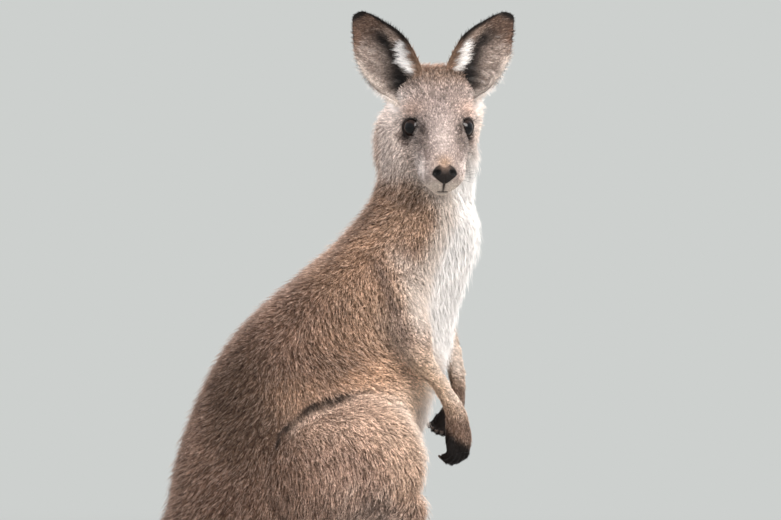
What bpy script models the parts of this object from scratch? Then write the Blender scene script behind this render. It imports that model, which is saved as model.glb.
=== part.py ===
"""Young eastern grey kangaroo, life size, standing upright on its hind feet and tail with the head turned
round to its right side. The body faces +X, its right side is -Y and +Z is up; the soles and the underside
of the tail rest on z = 0. Every body piece is a loft of rounded sections; the pieces meet at butt joints."""
import math

import bpy
import numpy as np

MM = 0.001
JOINT_GAP = 0.4 * MM            # clear space between two neighbouring pieces of one loft
FIT_GAP = 0.35 * MM             # clear space left where one piece is cut to seat against another
CENTRE_X, CENTRE_Y = -305.8, 0.0  # middle of the whole animal in body coordinates, mm; it becomes the origin

# Trunk, neck and tail: dorsal point x z, ventral point x z, half width, sideways shift, twist in degrees.
TAIL = [(-748, 14, -748, 2, 5, 0, 0), (-736, 20, -736, 0, 8.5, 0, 0), (-640, 31, -640, -3, 14.5, 0, 0),
        (-550, 40, -550, -3, 19, 0, 0), (-465, 51, -460, -3, 24, 0, 0), (-397, 67, -386, -1, 30, 0, 0),
        (-343, 92, -322, 12, 38, 0, 0), (-298, 126, -262, 36, 46, 0, 0), (-262, 161, -205, 66, 55, 0, 0)]
TRUNK = [(-238, 197, -148, 96, 64, 0, 0), (-227, 250, -95, 128, 72, 0, 1), (-207, 311, -45, 164, 77, 0, 2),
         (-180, 364, -6, 208, 79, 0, 3), (-142, 409, 26, 260, 77, 0, 5), (-98, 447, 42, 312, 71, 0, 8),
         (-61, 479, 60, 362, 64, 0, 12)]
NECK = [(-37, 507, 72, 405, 59, 0, 15), (-21, 531, 86, 447, 56, 0, 17), (-14, 554, 98, 487, 53, -1, 15),
        (-18, 573, 95, 527, 52, -3, 12), (-18, 593, 95, 562, 50, -6, 8), (-12, 612, 90, 594, 44, -8, 4),
        (4, 625, 74, 616, 30, -9, 0)]
SPINE_SQUARENESS = 2.15
SPINE_NODES = [("tail_tip", 0, 3, 5, 14), ("tail_middle", 3, 5, 4, 16), ("tail_base", 5, 8, 5, 20),
               ("rump", 8, 11, 6, 24), ("abdomen", 11, 13, 5, 24), ("chest", 13, 16, 6, 24), ("neck", 16, 22, 9, 24)]

# Head: its own axes are forward f, right r and up u, turned from the body's by a turn and a nod.
HEAD_ORIGIN = (52.3, -36, 593.5)
HEAD_TURN, HEAD_NOD = -77, 33      # degrees to the animal's right, degrees below the level
HEAD = [(-69, 20, 15, 13), (-64, 15, 32, 32), (-53, 10.5, 44.5, 44.5), (-38, 8, 50, 50), (-24, 5, 50.5, 51),
        (-8, 1, 45, 48), (6, -3, 37, 42), (20, -7, 32, 36), (34, -11, 28.5, 31), (46, -15, 26.5, 27.5),
        (56, -18, 24, 23.5), (63, -17, 20, 18), (67, -14, 14, 12), (69, -11, 6, 5)]   # f, u, half width, half height
EYE_CENTRE, EYE_RADIUS = (4, 24, 12), 10.5
NOSE_CENTRE, NOSE_SIZE = (63.5, 0, -7.5), (7.5, 13.5, 9.5)

# Ears: base and tip in head axes, half widths of the inner and the outer side of the opening.
EAR_RIGHT = {"base": (-30, 40, 28), "tip": (-92, 81.5, 91), "inner": 36, "outer": 24}
EAR_LEFT = {"base": (-30.5, -37.8, 30.5), "tip": (-81.5, -80, 97.5), "inner": 37.5, "outer": 20}
EAR_WALL = 3.0
EAR_AT = [0, .1, .22, .36, .5, .65, .78, .88, .95, .985, 1]
EAR_INNER = [.5, .7, .9, .95, .96, .83, .62, .45, .28, .17, .07]
EAR_OUTER = [.55, .7, .86, .94, .95, .86, .63, .46, .3, .2, .07]
EAR_CURL_AT, EAR_CURL = [0, .15, .3, .6, 1], [1.9, 1.45, 1.15, .9, .5]

# Limbs: x y z of the section's centre, half width across, depth in front, depth behind, squareness.
ARM_RIGHT = [(2, -38, 455, 20, 24, 24, 2), (9, -48, 438, 24, 33, 33, 2), (19, -57, 408, 22, 28, 28, 2),
             (29, -62, 380, 18, 21, 22, 2), (38, -63, 358, 13, 14, 16, 2), (55, -61, 336, 10.5, 10.5, 11, 2),
             (63, -59, 322, 10, 10.3, 10.3, 2), (71.5, -57, 307, 10.5, 11.7, 11.7, 2), (75, -55, 288, 11, 14, 14, 2),
             (75.5, -53, 273, 10, 15, 15, 2), (75, -52, 263, 8, 13, 13, 2)]
ARM_LEFT = [(18, 36, 455, 20, 24, 24, 2), (26, 46, 438, 23, 30, 31, 2), (38, 54, 408, 20, 24, 25, 2),
            (50, 57, 382, 15, 17, 18, 2), (61, 55, 360, 11, 11.5, 12, 2), (66, 52, 337, 10, 10, 10.3, 2),
            (67, 48, 321, 9.5, 10, 10, 2), (65, 45, 308, 10, 11.5, 11, 2), (59, 43, 297, 10, 13, 13, 2),
            (54, 41, 289, 9, 12.5, 12.5, 2), (50, 40, 283, 7.5, 10, 10, 2)]
ARM_CUTS = (4.4, 7.4)              # stations where the elbow and the wrist divide the arm
THIGH = [(-124, 46, 252, 16, 18, 24, 2), (-116, 48, 250, 30, 38, 46, 2.1), (-94, 52, 250, 41, 52, 70, 2.2),
         (-60, 56, 248, 45, 68, 80, 2.2), (-24, 60, 244, 45, 80, 80, 2.2), (6, 65, 236, 41, 67, 70, 2.2),
         (22, 69, 231.5, 34, 48, 56, 2.2), (31, 71, 229, 24, 30, 40, 2), (35, 71, 228, 10, 13, 18, 2)]
SHANK = [(30, 72, 220, 10, 12, 12, 2), (26, 72, 213, 20, 23, 25, 2), (16, 72, 200, 27, 31, 36, 2),
         (-4, 73, 178, 28, 34, 41, 2),
         (-36, 74, 144, 25, 29, 34, 2), (-70, 74, 104, 19, 21, 24, 2), (-98, 74, 72, 16, 16, 18, 2),
         (-116, 73, 50, 15, 15, 16, 2), (-123, 73, 36, 12, 12, 12, 2)]
FOOT = [(-144, 73, 20, 5, 6, 10, 2), (-140, 73, 21, 12, 14, 22, 2.1), (-130, 73, 24, 15.5, 21, 26, 2.2),
        (-112, 73, 25, 17, 24, 27, 2.3),
        (-86, 74, 21, 17, 18, 23, 2.4), (-30, 76, 16, 17.5, 14, 18, 2.5), (20, 78, 14, 19, 12.5, 16, 2.5),
        (55, 79, 13, 19, 11, 15, 2.5), (74, 80, 12, 15, 9.5, 14, 2.4)]
TOES = {"toe_4": [(60, 80, 11.5, 10, 9, 13, 2.3), (98, 82, 10.5, 9.5, 8.5, 12, 2.3), (112, 82.5, 8.5, 7.5, 7, 10, 2.2)],
        "toe_5": [(34, 88, 12, 8, 9, 13, 2.2), (62, 96, 10.5, 8, 8, 12, 2.2), (86, 100.5, 8, 5.5, 5.5, 9, 2.2)],
        "toes_2_3": [(38, 67, 11, 6.5, 7, 12, 2.2), (62, 61.5, 9.5, 6.5, 6.5, 11, 2.2), (82, 59.5, 7.5, 5, 4.5, 8.5, 2.2)]}
CLAWS = {"claw_4": [(106, 82.5, 10, 5, 5, 5, 2), (120, 82.5, 9, 4, 4.4, 4, 2), (136, 82.5, 2.6, .9, 1, 1, 2)],
         "claw_5": [(81, 99.7, 8.5, 3.6, 3.6, 3.6, 2), (92, 101.5, 7, 2.9, 3, 3, 2), (103, 103, 2.8, .8, .9, .9, 2)],
         "claw_3": [(77, 62, 8, 2.2, 2.4, 2.4, 2), (86, 61.8, 6.5, 1.8, 1.9, 1.9, 2), (94, 61.6, 3, .7, .7, .7, 2)],
         "claw_2": [(77, 57, 8, 2.2, 2.4, 2.4, 2), (86, 56.7, 6.5, 1.8, 1.9, 1.9, 2), (94, 56.5, 3, .7, .7, .7, 2)]}
LEFT_LEG_BACK = 13                 # how far the left leg stands behind the right one

# Hands: five digits leave the end of the palm in a fan and curl towards it, each with a hooked claw.
HAND_RIGHT = {"wrist": (75.5, -53, 271), "down": (-0.12, 0.1, -1), "palm": (-0.55, 0.83, 0)}
HAND_LEFT = {"wrist": (54, 41, 289), "down": (-0.5, -0.1, -0.86), "palm": (-0.7, -0.4, 0.4)}
DIGIT_SPREAD, DIGIT_FAN, DIGIT_THICK, DIGIT_LENGTH = 5.6, 9, 3.6, (13, 17, 19, 17.5, 14)
CLAW_THICK, CLAW_LENGTH = 1.7, 10

COLOURS = {"coat": ((0.30, 0.22, 0.17), 0.9), "pale_coat": ((0.55, 0.47, 0.41), 0.9),
           "dark_coat": ((0.08, 0.055, 0.045), 0.85), "claw": ((0.05, 0.04, 0.04), 0.35),
           "eye": ((0.02, 0.012, 0.01), 0.08), "nose": ((0.03, 0.025, 0.025), 0.4)}


def unit(v):
    v = np.asarray(v, float)
    return v / np.linalg.norm(v, axis=-1, keepdims=True)


def through(stations, start, stop, count):
    """Rows on the cubic through the stations (chord-length steps), from one station index to another."""
    s = np.asarray(stations, float)
    t = np.concatenate([[0], np.cumsum(np.linalg.norm(np.diff(s[:, :3], axis=0), axis=1))])
    slope = np.gradient(s, t, axis=0)
    ends = np.interp([start, stop], np.arange(len(s)), t)
    x = np.linspace(ends[0], ends[1] - (JOINT_GAP if stop < len(s) - 1 else 0), count)
    i = np.clip(np.searchsorted(t, x, side="right") - 1, 0, len(t) - 2)
    h = (t[i + 1] - t[i])[:, None]
    k = (x - t[i])[:, None] / h
    return ((2 * k**3 - 3 * k**2 + 1) * s[i] + (k**3 - 2 * k**2 + k) * h * slope[i]
            + (3 * k**2 - 2 * k**3) * s[i + 1] + (k**3 - k**2) * h * slope[i + 1])


def section(sides, squareness):
    """Unit superellipse: |c|^n + |s|^n = 1, as two arrays with one row for each ring."""
    a = np.linspace(0, 2 * math.pi, sides, endpoint=False)
    power = 2.0 / np.broadcast_to(squareness, (len(squareness),))[:, None]
    return np.sign(np.cos(a)) * np.abs(np.cos(a)) ** power, np.sign(np.sin(a)) * np.abs(np.sin(a)) ** power


def limb_rings(stations, rings, sides, start=0, stop=None, across=(0, -1, 0)):
    """Rings of a loft along the stations; each ring stands square to the path."""
    stop = len(stations) - 1 if stop is None else stop
    rows = through(np.array(stations, float) * ([MM] * 6 + [1]), start, stop, rings)
    fine = through(np.array(stations, float) * ([MM] * 6 + [1]), 0, len(stations) - 1, 200)
    tangents = unit(np.gradient(fine[:, :3], axis=0))
    nearest = np.argmin(((rows[:, None, :3] - fine[None, :, :3]) ** 2).sum(2), axis=1)
    along = tangents[nearest]
    side = unit(np.asarray(across, float) - (along @ np.asarray(across, float))[:, None] * along)
    up = np.cross(side, along)
    c, s = section(sides, rows[:, 6])
    depth = np.where(s > 0, rows[:, 4:5], rows[:, 5:6]) * s
    return rows[:, None, :3] + side[:, None] * (c * rows[:, 3:4])[..., None] + up[:, None] * depth[..., None]


def spine_rings(start, stop, rings, sides):
    """Rings between the dorsal and the ventral line of tail, trunk and neck."""
    rails = np.array(TAIL + TRUNK + NECK, float)
    table = np.column_stack([(rails[:, 0] + rails[:, 2]) / 2, rails[:, 5], (rails[:, 1] + rails[:, 3]) / 2,
                             (rails[:, 0] - rails[:, 2]) / 2, (rails[:, 1] - rails[:, 3]) / 2, rails[:, 4], rails[:, 6]])
    rows = through(table * ([MM] * 6 + [1]), start, stop, rings)
    zero = np.zeros(rings)
    up = np.stack([rows[:, 3], zero, rows[:, 4]], 1)
    turn = np.radians(rows[:, 6])
    along = unit(np.cross(up, [0, -1, 0]))
    side = np.stack([zero, -np.ones(rings), zero], 1)
    lift = np.linalg.norm(up, axis=1, keepdims=True)
    up = unit(up)
    side, up = (side * np.cos(turn)[:, None] - up * np.sin(turn)[:, None],
                up * np.cos(turn)[:, None] + side * np.sin(turn)[:, None])
    c, s = section(sides, np.full(rings, SPINE_SQUARENESS))
    return rows[:, None, :3] + side[:, None] * (c * rows[:, 5:6])[..., None] + up[:, None] * (s * lift)[..., None]


def head_axes():
    turn, nod = math.radians(HEAD_TURN), math.radians(HEAD_NOD)
    ahead = np.array([math.cos(turn), math.sin(turn), 0])
    forward = ahead * math.cos(nod) - np.array([0, 0, math.sin(nod)])
    up = ahead * math.sin(nod) + np.array([0, 0, math.cos(nod)])
    return forward, np.cross(forward, up), up


def in_head(point):
    """Body coordinates in metres of a point given in head axes and millimetres."""
    f, r, u = head_axes()
    return (np.array(HEAD_ORIGIN) + f * point[0] + r * point[1] + u * point[2]) * MM


def head_rings(rings, sides):
    f, r, u = head_axes()
    rows = [(*(np.array(HEAD_ORIGIN) + f * a + u * b), w, h, h, 2.2) for a, b, w, h in HEAD]
    centres = through(np.array(rows) * ([MM] * 6 + [1]), 0, len(rows) - 1, rings)
    c, s = section(sides, centres[:, 6])
    return centres[:, None, :3] + r * (c * centres[:, 3:4])[..., None] + u * (s * centres[:, 4:5])[..., None]


def make_object(name, points, faces, look, collection):
    mesh = bpy.data.meshes.new(name)
    mesh.from_pydata(points.tolist(), [], faces)
    mesh.update()
    mesh.shade_smooth()
    mesh.set_sharp_from_angle(angle=math.radians(50))
    if look:
        colour, roughness = COLOURS[look]
        material = bpy.data.materials.new(name)
        material.use_nodes = True
        shader = material.node_tree.nodes["Principled BSDF"]
        shader.inputs["Base Color"].default_value = (*colour, 1)
        shader.inputs["Roughness"].default_value = roughness
        shader.inputs["Metallic"].default_value = 0.0
        material.diffuse_color = (*colour, 1)
        mesh.materials.append(material)
    obj = bpy.data.objects.new(name, mesh)
    collection.objects.link(obj)
    return obj


def tube(name, rings, look, collection, floor=False):
    """Closed solid through the rings, with flat ends; floor=True flattens what would reach below z = 0."""
    count, sides, _ = rings.shape
    points = rings.reshape(-1, 3) - [CENTRE_X * MM, CENTRE_Y * MM, 0]
    if floor:
        points[:, 2] = np.maximum(points[:, 2], 0)
    i, j = np.arange(count - 1)[:, None] * sides, np.arange(sides)[None]
    a, b = (i + j).ravel(), (i + (j + 1) % sides).ravel()
    faces = np.stack([a, a + sides, b + sides, b], 1).tolist()
    faces += [list(range(sides)), list(range((count - 1) * sides, count * sides))[::-1]]
    return make_object(name, points, faces, look, collection)


def ball(name, centre, size, axes, look, collection, around=12, along=8):
    """Ellipsoid with its poles on the first axis."""
    a = np.linspace(0, math.pi, along + 1)[1:-1, None]
    b = np.linspace(0, 2 * math.pi, around, endpoint=False)[None]
    local = np.stack([np.cos(a) + 0 * b, np.sin(a) * np.cos(b), np.sin(a) * np.sin(b)], -1) * np.array(size) * MM
    rings = centre + local @ np.array(axes)
    points = np.concatenate([rings.reshape(-1, 3), [centre + axes[0] * size[0] * MM, centre - axes[0] * size[0] * MM]])
    points -= [CENTRE_X * MM, CENTRE_Y * MM, 0]
    count = along - 1
    faces = []
    for k in range(around):
        n = (k + 1) % around
        faces.append([count * around, k, n])
        faces.append([count * around + 1, (count - 1) * around + n, (count - 1) * around + k])
        faces += [[r * around + k, (r + 1) * around + k, (r + 1) * around + n, r * around + n] for r in range(count - 1)]
    return make_object(name, points, faces, look, collection)


def ear(name, shape, collection, rows=10, columns=7):
    """Cupped leaf: a curled sheet from base to tip, given a wall and rounded into the head's surface."""
    forward = head_axes()[0]
    base, tip = in_head(shape["base"]), in_head(shape["tip"])
    along = unit(tip - base)
    facing = np.array([math.cos(math.radians(HEAD_TURN - 8)), math.sin(math.radians(HEAD_TURN - 8)), 0])
    outward = unit(in_head((0, shape["base"][1], 0)) - in_head((0, 0, 0)))
    facing = facing + 0.2 * outward
    facing = unit(facing - (facing @ along) * along)
    across = np.cross(along, facing)
    across = across * np.sign(across @ outward)
    s = np.array(sorted(set(np.round(np.linspace(0, .94, rows - 2), 3)) | {.975, 1}))
    inner = np.interp(s, EAR_AT, EAR_INNER) * shape["inner"] * MM
    outer = np.interp(s, EAR_AT, EAR_OUTER) * shape["outer"] * MM
    curl = np.interp(s, EAR_CURL_AT, EAR_CURL)
    angle = np.linspace(-1, 1, columns)[None] * curl[:, None]
    radius = ((inner + outer) / 2 / np.sin(np.minimum(curl, math.pi / 2)))[:, None]
    sideways = radius * np.sin(angle) + ((outer - inner) / 2)[:, None]
    depth = radius * (1 - np.cos(angle)) * 0.8
    middle = (base + along * (s * np.linalg.norm(tip - base))[:, None])[:, None]
    middle = middle + across * sideways[..., None] + facing * depth[..., None]
    normal = unit(np.cross(np.gradient(middle, axis=0), np.gradient(middle, axis=1)))
    normal *= np.sign((normal * facing).sum(-1, keepdims=True).mean())
    sheets = np.stack([middle + normal * EAR_WALL / 2 * MM, middle - normal * EAR_WALL / 2 * MM])
    points = sheets.reshape(-1, 3) - [CENTRE_X * MM, CENTRE_Y * MM, 0]
    back = rows * columns
    faces = []
    for i in range(rows - 1):
        for j in range(columns - 1):
            a = i * columns + j
            faces += [[a, a + 1, a + columns + 1, a + columns],
                      [back + a, back + a + columns, back + a + columns + 1, back + a + 1]]
        a = i * columns
        b = a + columns - 1
        faces += [[a, a + columns, back + a + columns, back + a], [b, back + b, back + b + columns, b + columns]]
    for j in range(columns - 1):
        a, b = j, (rows - 1) * columns + j
        faces += [[a, back + a, back + a + 1, a + 1], [b, b + 1, back + b + 1, back + b]]
    if np.dot(np.cross(across, facing), along) < 0:
        faces = [face[::-1] for face in faces]
    return make_object(name, points, [face[::-1] for face in faces], "pale_coat", collection)


def swollen(name, source, cutters, gap=FIT_GAP):
    """Cutter: a copy of a solid, grown by the fit gap along its normals."""
    cutter = bpy.data.objects.new(name, source.data.copy())
    cutters.objects.link(cutter)
    cutter.hide_render = True
    cutter.display_type = "WIRE"
    grow = cutter.modifiers.new("grow", "DISPLACE")
    grow.strength, grow.mid_level = gap, 0.0
    return cutter


def cut(obj, cutter):
    modifier = obj.modifiers.new("seat_" + cutter.name, "BOOLEAN")
    modifier.operation, modifier.solver, modifier.object = "DIFFERENCE", "EXACT", cutter


def join(obj, other):
    modifier = obj.modifiers.new("join_" + other.name, "BOOLEAN")
    modifier.operation, modifier.solver, modifier.object = "UNION", "EXACT", other


def mirrored(stations, back=0):
    return [(x - back, -y, *rest) for x, y, *rest in stations]


def build_hand(side, frame, palm, body, cutters):
    """Five digits joined to the palm, and a claw on each digit."""
    down, facing = unit(frame["down"]), np.array(frame["palm"], float)
    facing = unit(facing - (facing @ down) * down)
    across = np.cross(down, facing)
    wrist = np.array(frame["wrist"], float)
    for k in range(5):
        fan = math.radians((k - 2) * DIGIT_FAN)
        ahead = down * math.cos(fan) + across * math.sin(fan)
        root = wrist + across * (k - 2) * DIGIT_SPREAD - down * 6
        length = DIGIT_LENGTH[k]
        path = [root, root + ahead * (length * 0.62 + 6) + facing * 1.5, root + ahead * (length + 5) + facing * 6.5]
        rows = [(*p, w, w, w, 2) for p, w in zip(path, (DIGIT_THICK, DIGIT_THICK, DIGIT_THICK * 0.78))]
        digit = tube(f"digit_{k + 1}_{side}", limb_rings(rows, 3, 6, across=across), None, cutters)
        digit.hide_render, digit.display_type = True, "WIRE"
        join(palm, digit)
        tip = path[2] - unit(path[2] - path[1]) * 2.5
        hook = unit(ahead * 0.6 + facing * 0.8)
        curve = [tip, tip + hook * CLAW_LENGTH * 0.55, tip + hook * CLAW_LENGTH + facing * 1.8 - ahead * 0.6]
        claw = [(*p, w, w * 1.25, w * 1.25, 2) for p, w in zip(curve, (CLAW_THICK, CLAW_THICK * 0.8, 0.4))]
        claw = tube(f"hand_claw_{k + 1}_{side}", limb_rings(claw, 3, 5, across=across), "claw", body)
        cut(claw, swollen(f"digit_{k + 1}_{side}_cutter", digit, cutters))
        cut(claw, bpy.data.objects["spine_cutter"])


def main():
    for obj in list(bpy.data.objects):
        bpy.data.objects.remove(obj)
    body = bpy.data.collections.new("kangaroo")
    cutters = bpy.data.collections.new("cutters")
    for collection in (body, cutters):
        bpy.context.scene.collection.children.link(collection)
    cutters.hide_render = True

    for name, first, last, rings, sides in SPINE_NODES:
        node = tube(name, spine_rings(first, last, rings, sides), "coat", body, floor=name.startswith("tail"))
    neck = node
    whole = tube("spine_form", spine_rings(0, 22, 60, 24), None, cutters, floor=True)
    whole.hide_render, whole.display_type = True, "WIRE"
    spine_cutter = swollen("spine_cutter", whole, cutters, 2 * FIT_GAP)

    head = tube("head", head_rings(16, 24), "pale_coat", body)
    head_cutter = swollen("head_cutter", head, cutters)
    cut(neck, head_cutter)
    f, r, u = head_axes()
    for side, sign in (("right", 1), ("left", -1)):
        centre = in_head((EYE_CENTRE[0], sign * EYE_CENTRE[1], EYE_CENTRE[2]))
        outward = unit(f * 0.72 + r * sign * 0.65 + u * 0.1)
        axes = np.array([outward, unit(np.cross(u, outward)), unit(np.cross(outward, np.cross(u, outward)))])
        eye = ball(f"eye_{side}", centre, (EYE_RADIUS,) * 3, axes, "eye", body)
        cut(head, swollen(f"orbit_{side}", eye, cutters))
        mouth = ball(f"lid_opening_{side}", centre + outward * 8.5 * MM, (9, 8.4, 8.6), axes, None, cutters)
        mouth.hide_render, mouth.display_type = True, "WIRE"
        cut(head, mouth)
        cut(ear(f"ear_{side}", EAR_RIGHT if sign > 0 else EAR_LEFT, body), head_cutter)
    cut(ball("nose_pad", in_head(NOSE_CENTRE), NOSE_SIZE, np.array([f, r, u]), "nose", body, 12, 6), head_cutter)

    for side, arm, hand in (("right", ARM_RIGHT, HAND_RIGHT), ("left", ARM_LEFT, HAND_LEFT)):
        elbow, wrist = ARM_CUTS
        upper = tube(f"upper_arm_{side}", limb_rings(arm, 6, 14, 0, elbow), "coat", body)
        fore = tube(f"forearm_{side}", limb_rings(arm, 4, 12, elbow, wrist), "coat", body)
        palm = tube(f"hand_{side}", limb_rings(arm, 4, 12, wrist), "dark_coat", body)
        build_hand(side, hand, palm, body, cutters)
        for piece in (upper, fore, palm):
            cut(piece, spine_cutter)

    for side, sign, back in (("left", -1, LEFT_LEG_BACK), ("right", 1, 0)):
        def stand(rows):
            return mirrored(rows, back) if sign > 0 else [(x - back, *rest) for x, *rest in rows]
        thigh = tube(f"thigh_{side}", limb_rings(stand(THIGH), 10, 20), "coat", body)
        thigh_cutter = swollen(f"thigh_cutter_{side}", thigh, cutters, 3 * FIT_GAP)
        cut(thigh, spine_cutter)
        foot = tube(f"foot_{side}", limb_rings(stand(FOOT), 11, 16), "coat", body, floor=True)
        foot_cutter = swollen(f"foot_cutter_{side}", foot, cutters)
        shank = tube(f"shank_{side}", limb_rings(stand(SHANK), 9, 16), "coat", body)
        for cutter in (thigh_cutter, foot_cutter, spine_cutter):
            cut(shank, cutter)
        toe_cutters = {}
        for name, rows in TOES.items():
            toe = tube(f"{name}_{side}", limb_rings(stand(rows), 5, 10), "dark_coat", body, floor=True)
            toe_cutters[name[-1]] = swollen(f"{name}_cutter_{side}", toe, cutters)
            cut(toe, foot_cutter)
        for name, rows in CLAWS.items():
            claw = tube(f"foot_{name}_{side}", limb_rings(stand(rows), 4, 6), "claw", body)
            cut(claw, toe_cutters["3" if name[-1] == "2" else name[-1]])


main()
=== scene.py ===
"""Young eastern grey kangaroo, life size, standing up with its head turned round to its right side.
The body faces +X, its right side is -Y and +Z is up. One skin carries the whole animal and the coat lies
over it as solid tufts; eyes, claws, whiskers and lashes are pieces of their own."""
import math

import bmesh
import bpy
import numpy as np
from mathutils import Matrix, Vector


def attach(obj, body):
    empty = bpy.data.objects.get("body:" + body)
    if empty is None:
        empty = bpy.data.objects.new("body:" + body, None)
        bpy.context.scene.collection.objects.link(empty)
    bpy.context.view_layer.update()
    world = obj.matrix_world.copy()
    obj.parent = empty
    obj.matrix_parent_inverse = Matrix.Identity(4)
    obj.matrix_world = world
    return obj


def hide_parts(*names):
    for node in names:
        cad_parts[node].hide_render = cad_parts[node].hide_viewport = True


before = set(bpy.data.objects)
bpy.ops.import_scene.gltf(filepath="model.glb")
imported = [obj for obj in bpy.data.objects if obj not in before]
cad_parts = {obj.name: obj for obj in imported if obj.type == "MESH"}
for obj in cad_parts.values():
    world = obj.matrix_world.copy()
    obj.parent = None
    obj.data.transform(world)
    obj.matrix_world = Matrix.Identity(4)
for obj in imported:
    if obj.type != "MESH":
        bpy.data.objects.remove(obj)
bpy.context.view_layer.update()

rng = np.random.default_rng(20)
MM = 0.001
SHIFT = np.array([305.8, 0.0, 0.0])   # mm from body coordinates to the model's origin
SIGN = {"right": 1, "left": -1}
THINNEST = 1.2                         # mm, least half width of a loft's section
BODY_VOXEL, HAND_VOXEL, FOOT_VOXEL = 4.5, 1.3, 2.3
SKIN_OVER_FLOOR, COAT_OVER_FLOOR, CLAW_OVER_FLOOR = 0.6, 0.25, 0.4   # mm

# Trunk, neck and tail: dorsal point x z, ventral point x z, half width, sideways shift, twist in degrees.
SPINE = [(-748, 14, -748, 2, 5, 0, 0), (-736, 20, -736, 0, 8.5, 0, 0), (-640, 31, -640, -3, 14.5, 0, 0),
         (-550, 40, -550, -3, 19, 0, 0), (-465, 51, -460, -3, 24, 0, 0), (-397, 67, -386, -1, 30, 0, 0),
         (-343, 92, -322, 12, 38, 0, 0), (-298, 126, -262, 36, 46, 0, 0), (-262, 161, -205, 66, 55, 0, 0),
         (-238, 197, -148, 96, 64, 0, 0), (-227, 250, -95, 128, 72, 0, 1), (-207, 311, -45, 164, 77, 0, 2),
         (-180, 364, -6, 208, 79, 0, 3), (-142, 409, 26, 260, 77, 0, 5), (-98, 447, 42, 312, 71, 0, 8),
         (-61, 479, 60, 362, 64, 0, 12),
         (-37, 507, 72, 405, 59, 0, 15), (-21, 531, 84, 447, 56, 0, 17), (-14, 554, 94, 487, 53, -1, 15),
         (-18, 573, 89, 527, 52, -3, 12), (-18, 593, 90, 562, 50, -6, 8), (-12, 612, 90, 594, 44, -8, 4),
         (4, 625, 74, 616, 30, -9, 0)]
SPINE_COAT = [3, 3, 3.5, 4, 4.5, 5, 5.5, 6, *[6.5] * 10, 6, 6, 6, 6, 6]   # depth of the coat at each, mm

# Head: its own axes are forward f, right r and up u, turned from the body's by a turn and a nod. Its
# sections: f, u, half width, half height, depth of the coat.
HEAD_ORIGIN = np.array([52.3, -36, 593.5])
HEAD_TURN, HEAD_NOD = math.radians(-77), math.radians(33)
HEAD = [(-69, 20, 15, 13, 6), (-64, 15, 32, 32, 6), (-53, 10.5, 44.5, 44.5, 6), (-38, 8, 50, 50, 5.5),
        (-24, 5, 50.5, 51, 5), (-8, 1, 45, 48, 4), (6, -3, 37, 42, 3), (20, -7, 32, 36, 2.6),
        (34, -11, 28.5, 31, 2.2), (46, -15, 26.5, 27.5, 2), (56, -18, 24, 23.5, 1.8), (63, -17, 20, 18, 1.6),
        (67, -14, 14, 12, 1.4), (69, -11, 6, 5, 1.2)]
HEAD_REACH = 84                            # radius of a ball round its origin that holds the whole head
EYE_CENTRE, EYE_RADIUS, EYE_OUT = np.array([0.9, 25.2, 8.6]), 11.2, np.array([0.727, 0.623, 0.29])
EYE_OPEN = (54, 60)                        # half angles of the lids' opening: to the corners, up and down

# Ears: base and tip in head axes, half widths of the inner and the outer side of the opening.
EARS = {"right": ((-30, 40, 28), (-92, 81.5, 91), 36, 20.5),
        "left": ((-30.5, -37.8, 30.5), (-81.5, -80, 97.5), 37.5, 16.5)}
EAR_FOOT = (-20, 46, 24)                   # where the outer edge of an ear meets the head
EAR_AT = [-.2, -.08, .02, .1, .22, .36, .5, .65, .78, .88, .95, .985, 1]
EAR_INNER = [.3, .5, .75, .95, 1.03, 1.05, 1.0, .84, .62, .45, .29, .19, .08]
EAR_OUTER = [.08, .2, .45, .66, .85, .94, .96, .86, .65, .48, .32, .22, .08]
EAR_CURL_AT, EAR_CURL = [-.2, 0, .15, .3, .6, 1], [2.3, 1.9, 1.45, 1.15, .9, .5]

# Limbs: x y z of the section's centre, half width across, depth in front, depth behind, squareness.
ARM = {"right": [(2, -38, 455, 20, 24, 24, 2), (9, -48, 438, 24, 33, 33, 2), (19, -57, 408, 22, 28, 28, 2),
                 (29, -62, 380, 18, 21, 22, 2), (38, -63, 358, 13, 14, 16, 2),
                 (55, -61, 336, 10.5, 10.5, 11, 2), (63, -59, 322, 10, 10.3, 10.3, 2),
                 (71.5, -57, 307, 10.5, 11.7, 11.7, 2), (75, -55, 288, 11, 14, 14, 2),
                 (75.5, -53, 273, 10, 15, 15, 2), (75, -52, 263, 8, 13, 13, 2)],
       "left": [(18, 36, 455, 20, 24, 24, 2), (26, 46, 438, 23, 30, 31, 2), (38, 54, 408, 20, 24, 25, 2),
                (50, 57, 382, 15, 17, 18, 2), (61, 55, 360, 11, 11.5, 12, 2), (66, 52, 337, 10, 10, 10.3, 2),
                (67, 48, 321, 9.5, 10, 10, 2), (65, 45, 308, 10, 11.5, 11, 2), (59, 43, 297, 10, 13, 13, 2),
                (54, 41, 289, 9, 12.5, 12.5, 2), (50, 40, 283, 7.5, 10, 10, 2)]}
THIGH = [(-124, 46, 252, 16, 18, 24, 2), (-116, 48, 250, 30, 38, 46, 2.1), (-94, 52, 250, 41, 52, 70, 2.2),
         (-60, 56, 248, 45, 68, 80, 2.2), (-24, 60, 244, 45, 80, 80, 2.2), (6, 65, 236, 41, 67, 70, 2.2),
         (22, 69, 231.5, 34, 48, 56, 2.2), (31, 71, 229, 24, 30, 40, 2), (35, 71, 228, 10, 13, 18, 2)]
SHANK = [(30, 72, 220, 10, 12, 12, 2), (26, 72, 213, 20, 23, 25, 2), (16, 72, 200, 27, 31, 36, 2),
         (-4, 73, 178, 28, 34, 41, 2), (-36, 74, 144, 25, 29, 34, 2), (-70, 74, 104, 19, 21, 24, 2),
         (-98, 74, 72, 16, 16, 18, 2), (-116, 73, 50, 15, 15, 16, 2), (-123, 73, 36, 12, 12, 12, 2)]
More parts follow.
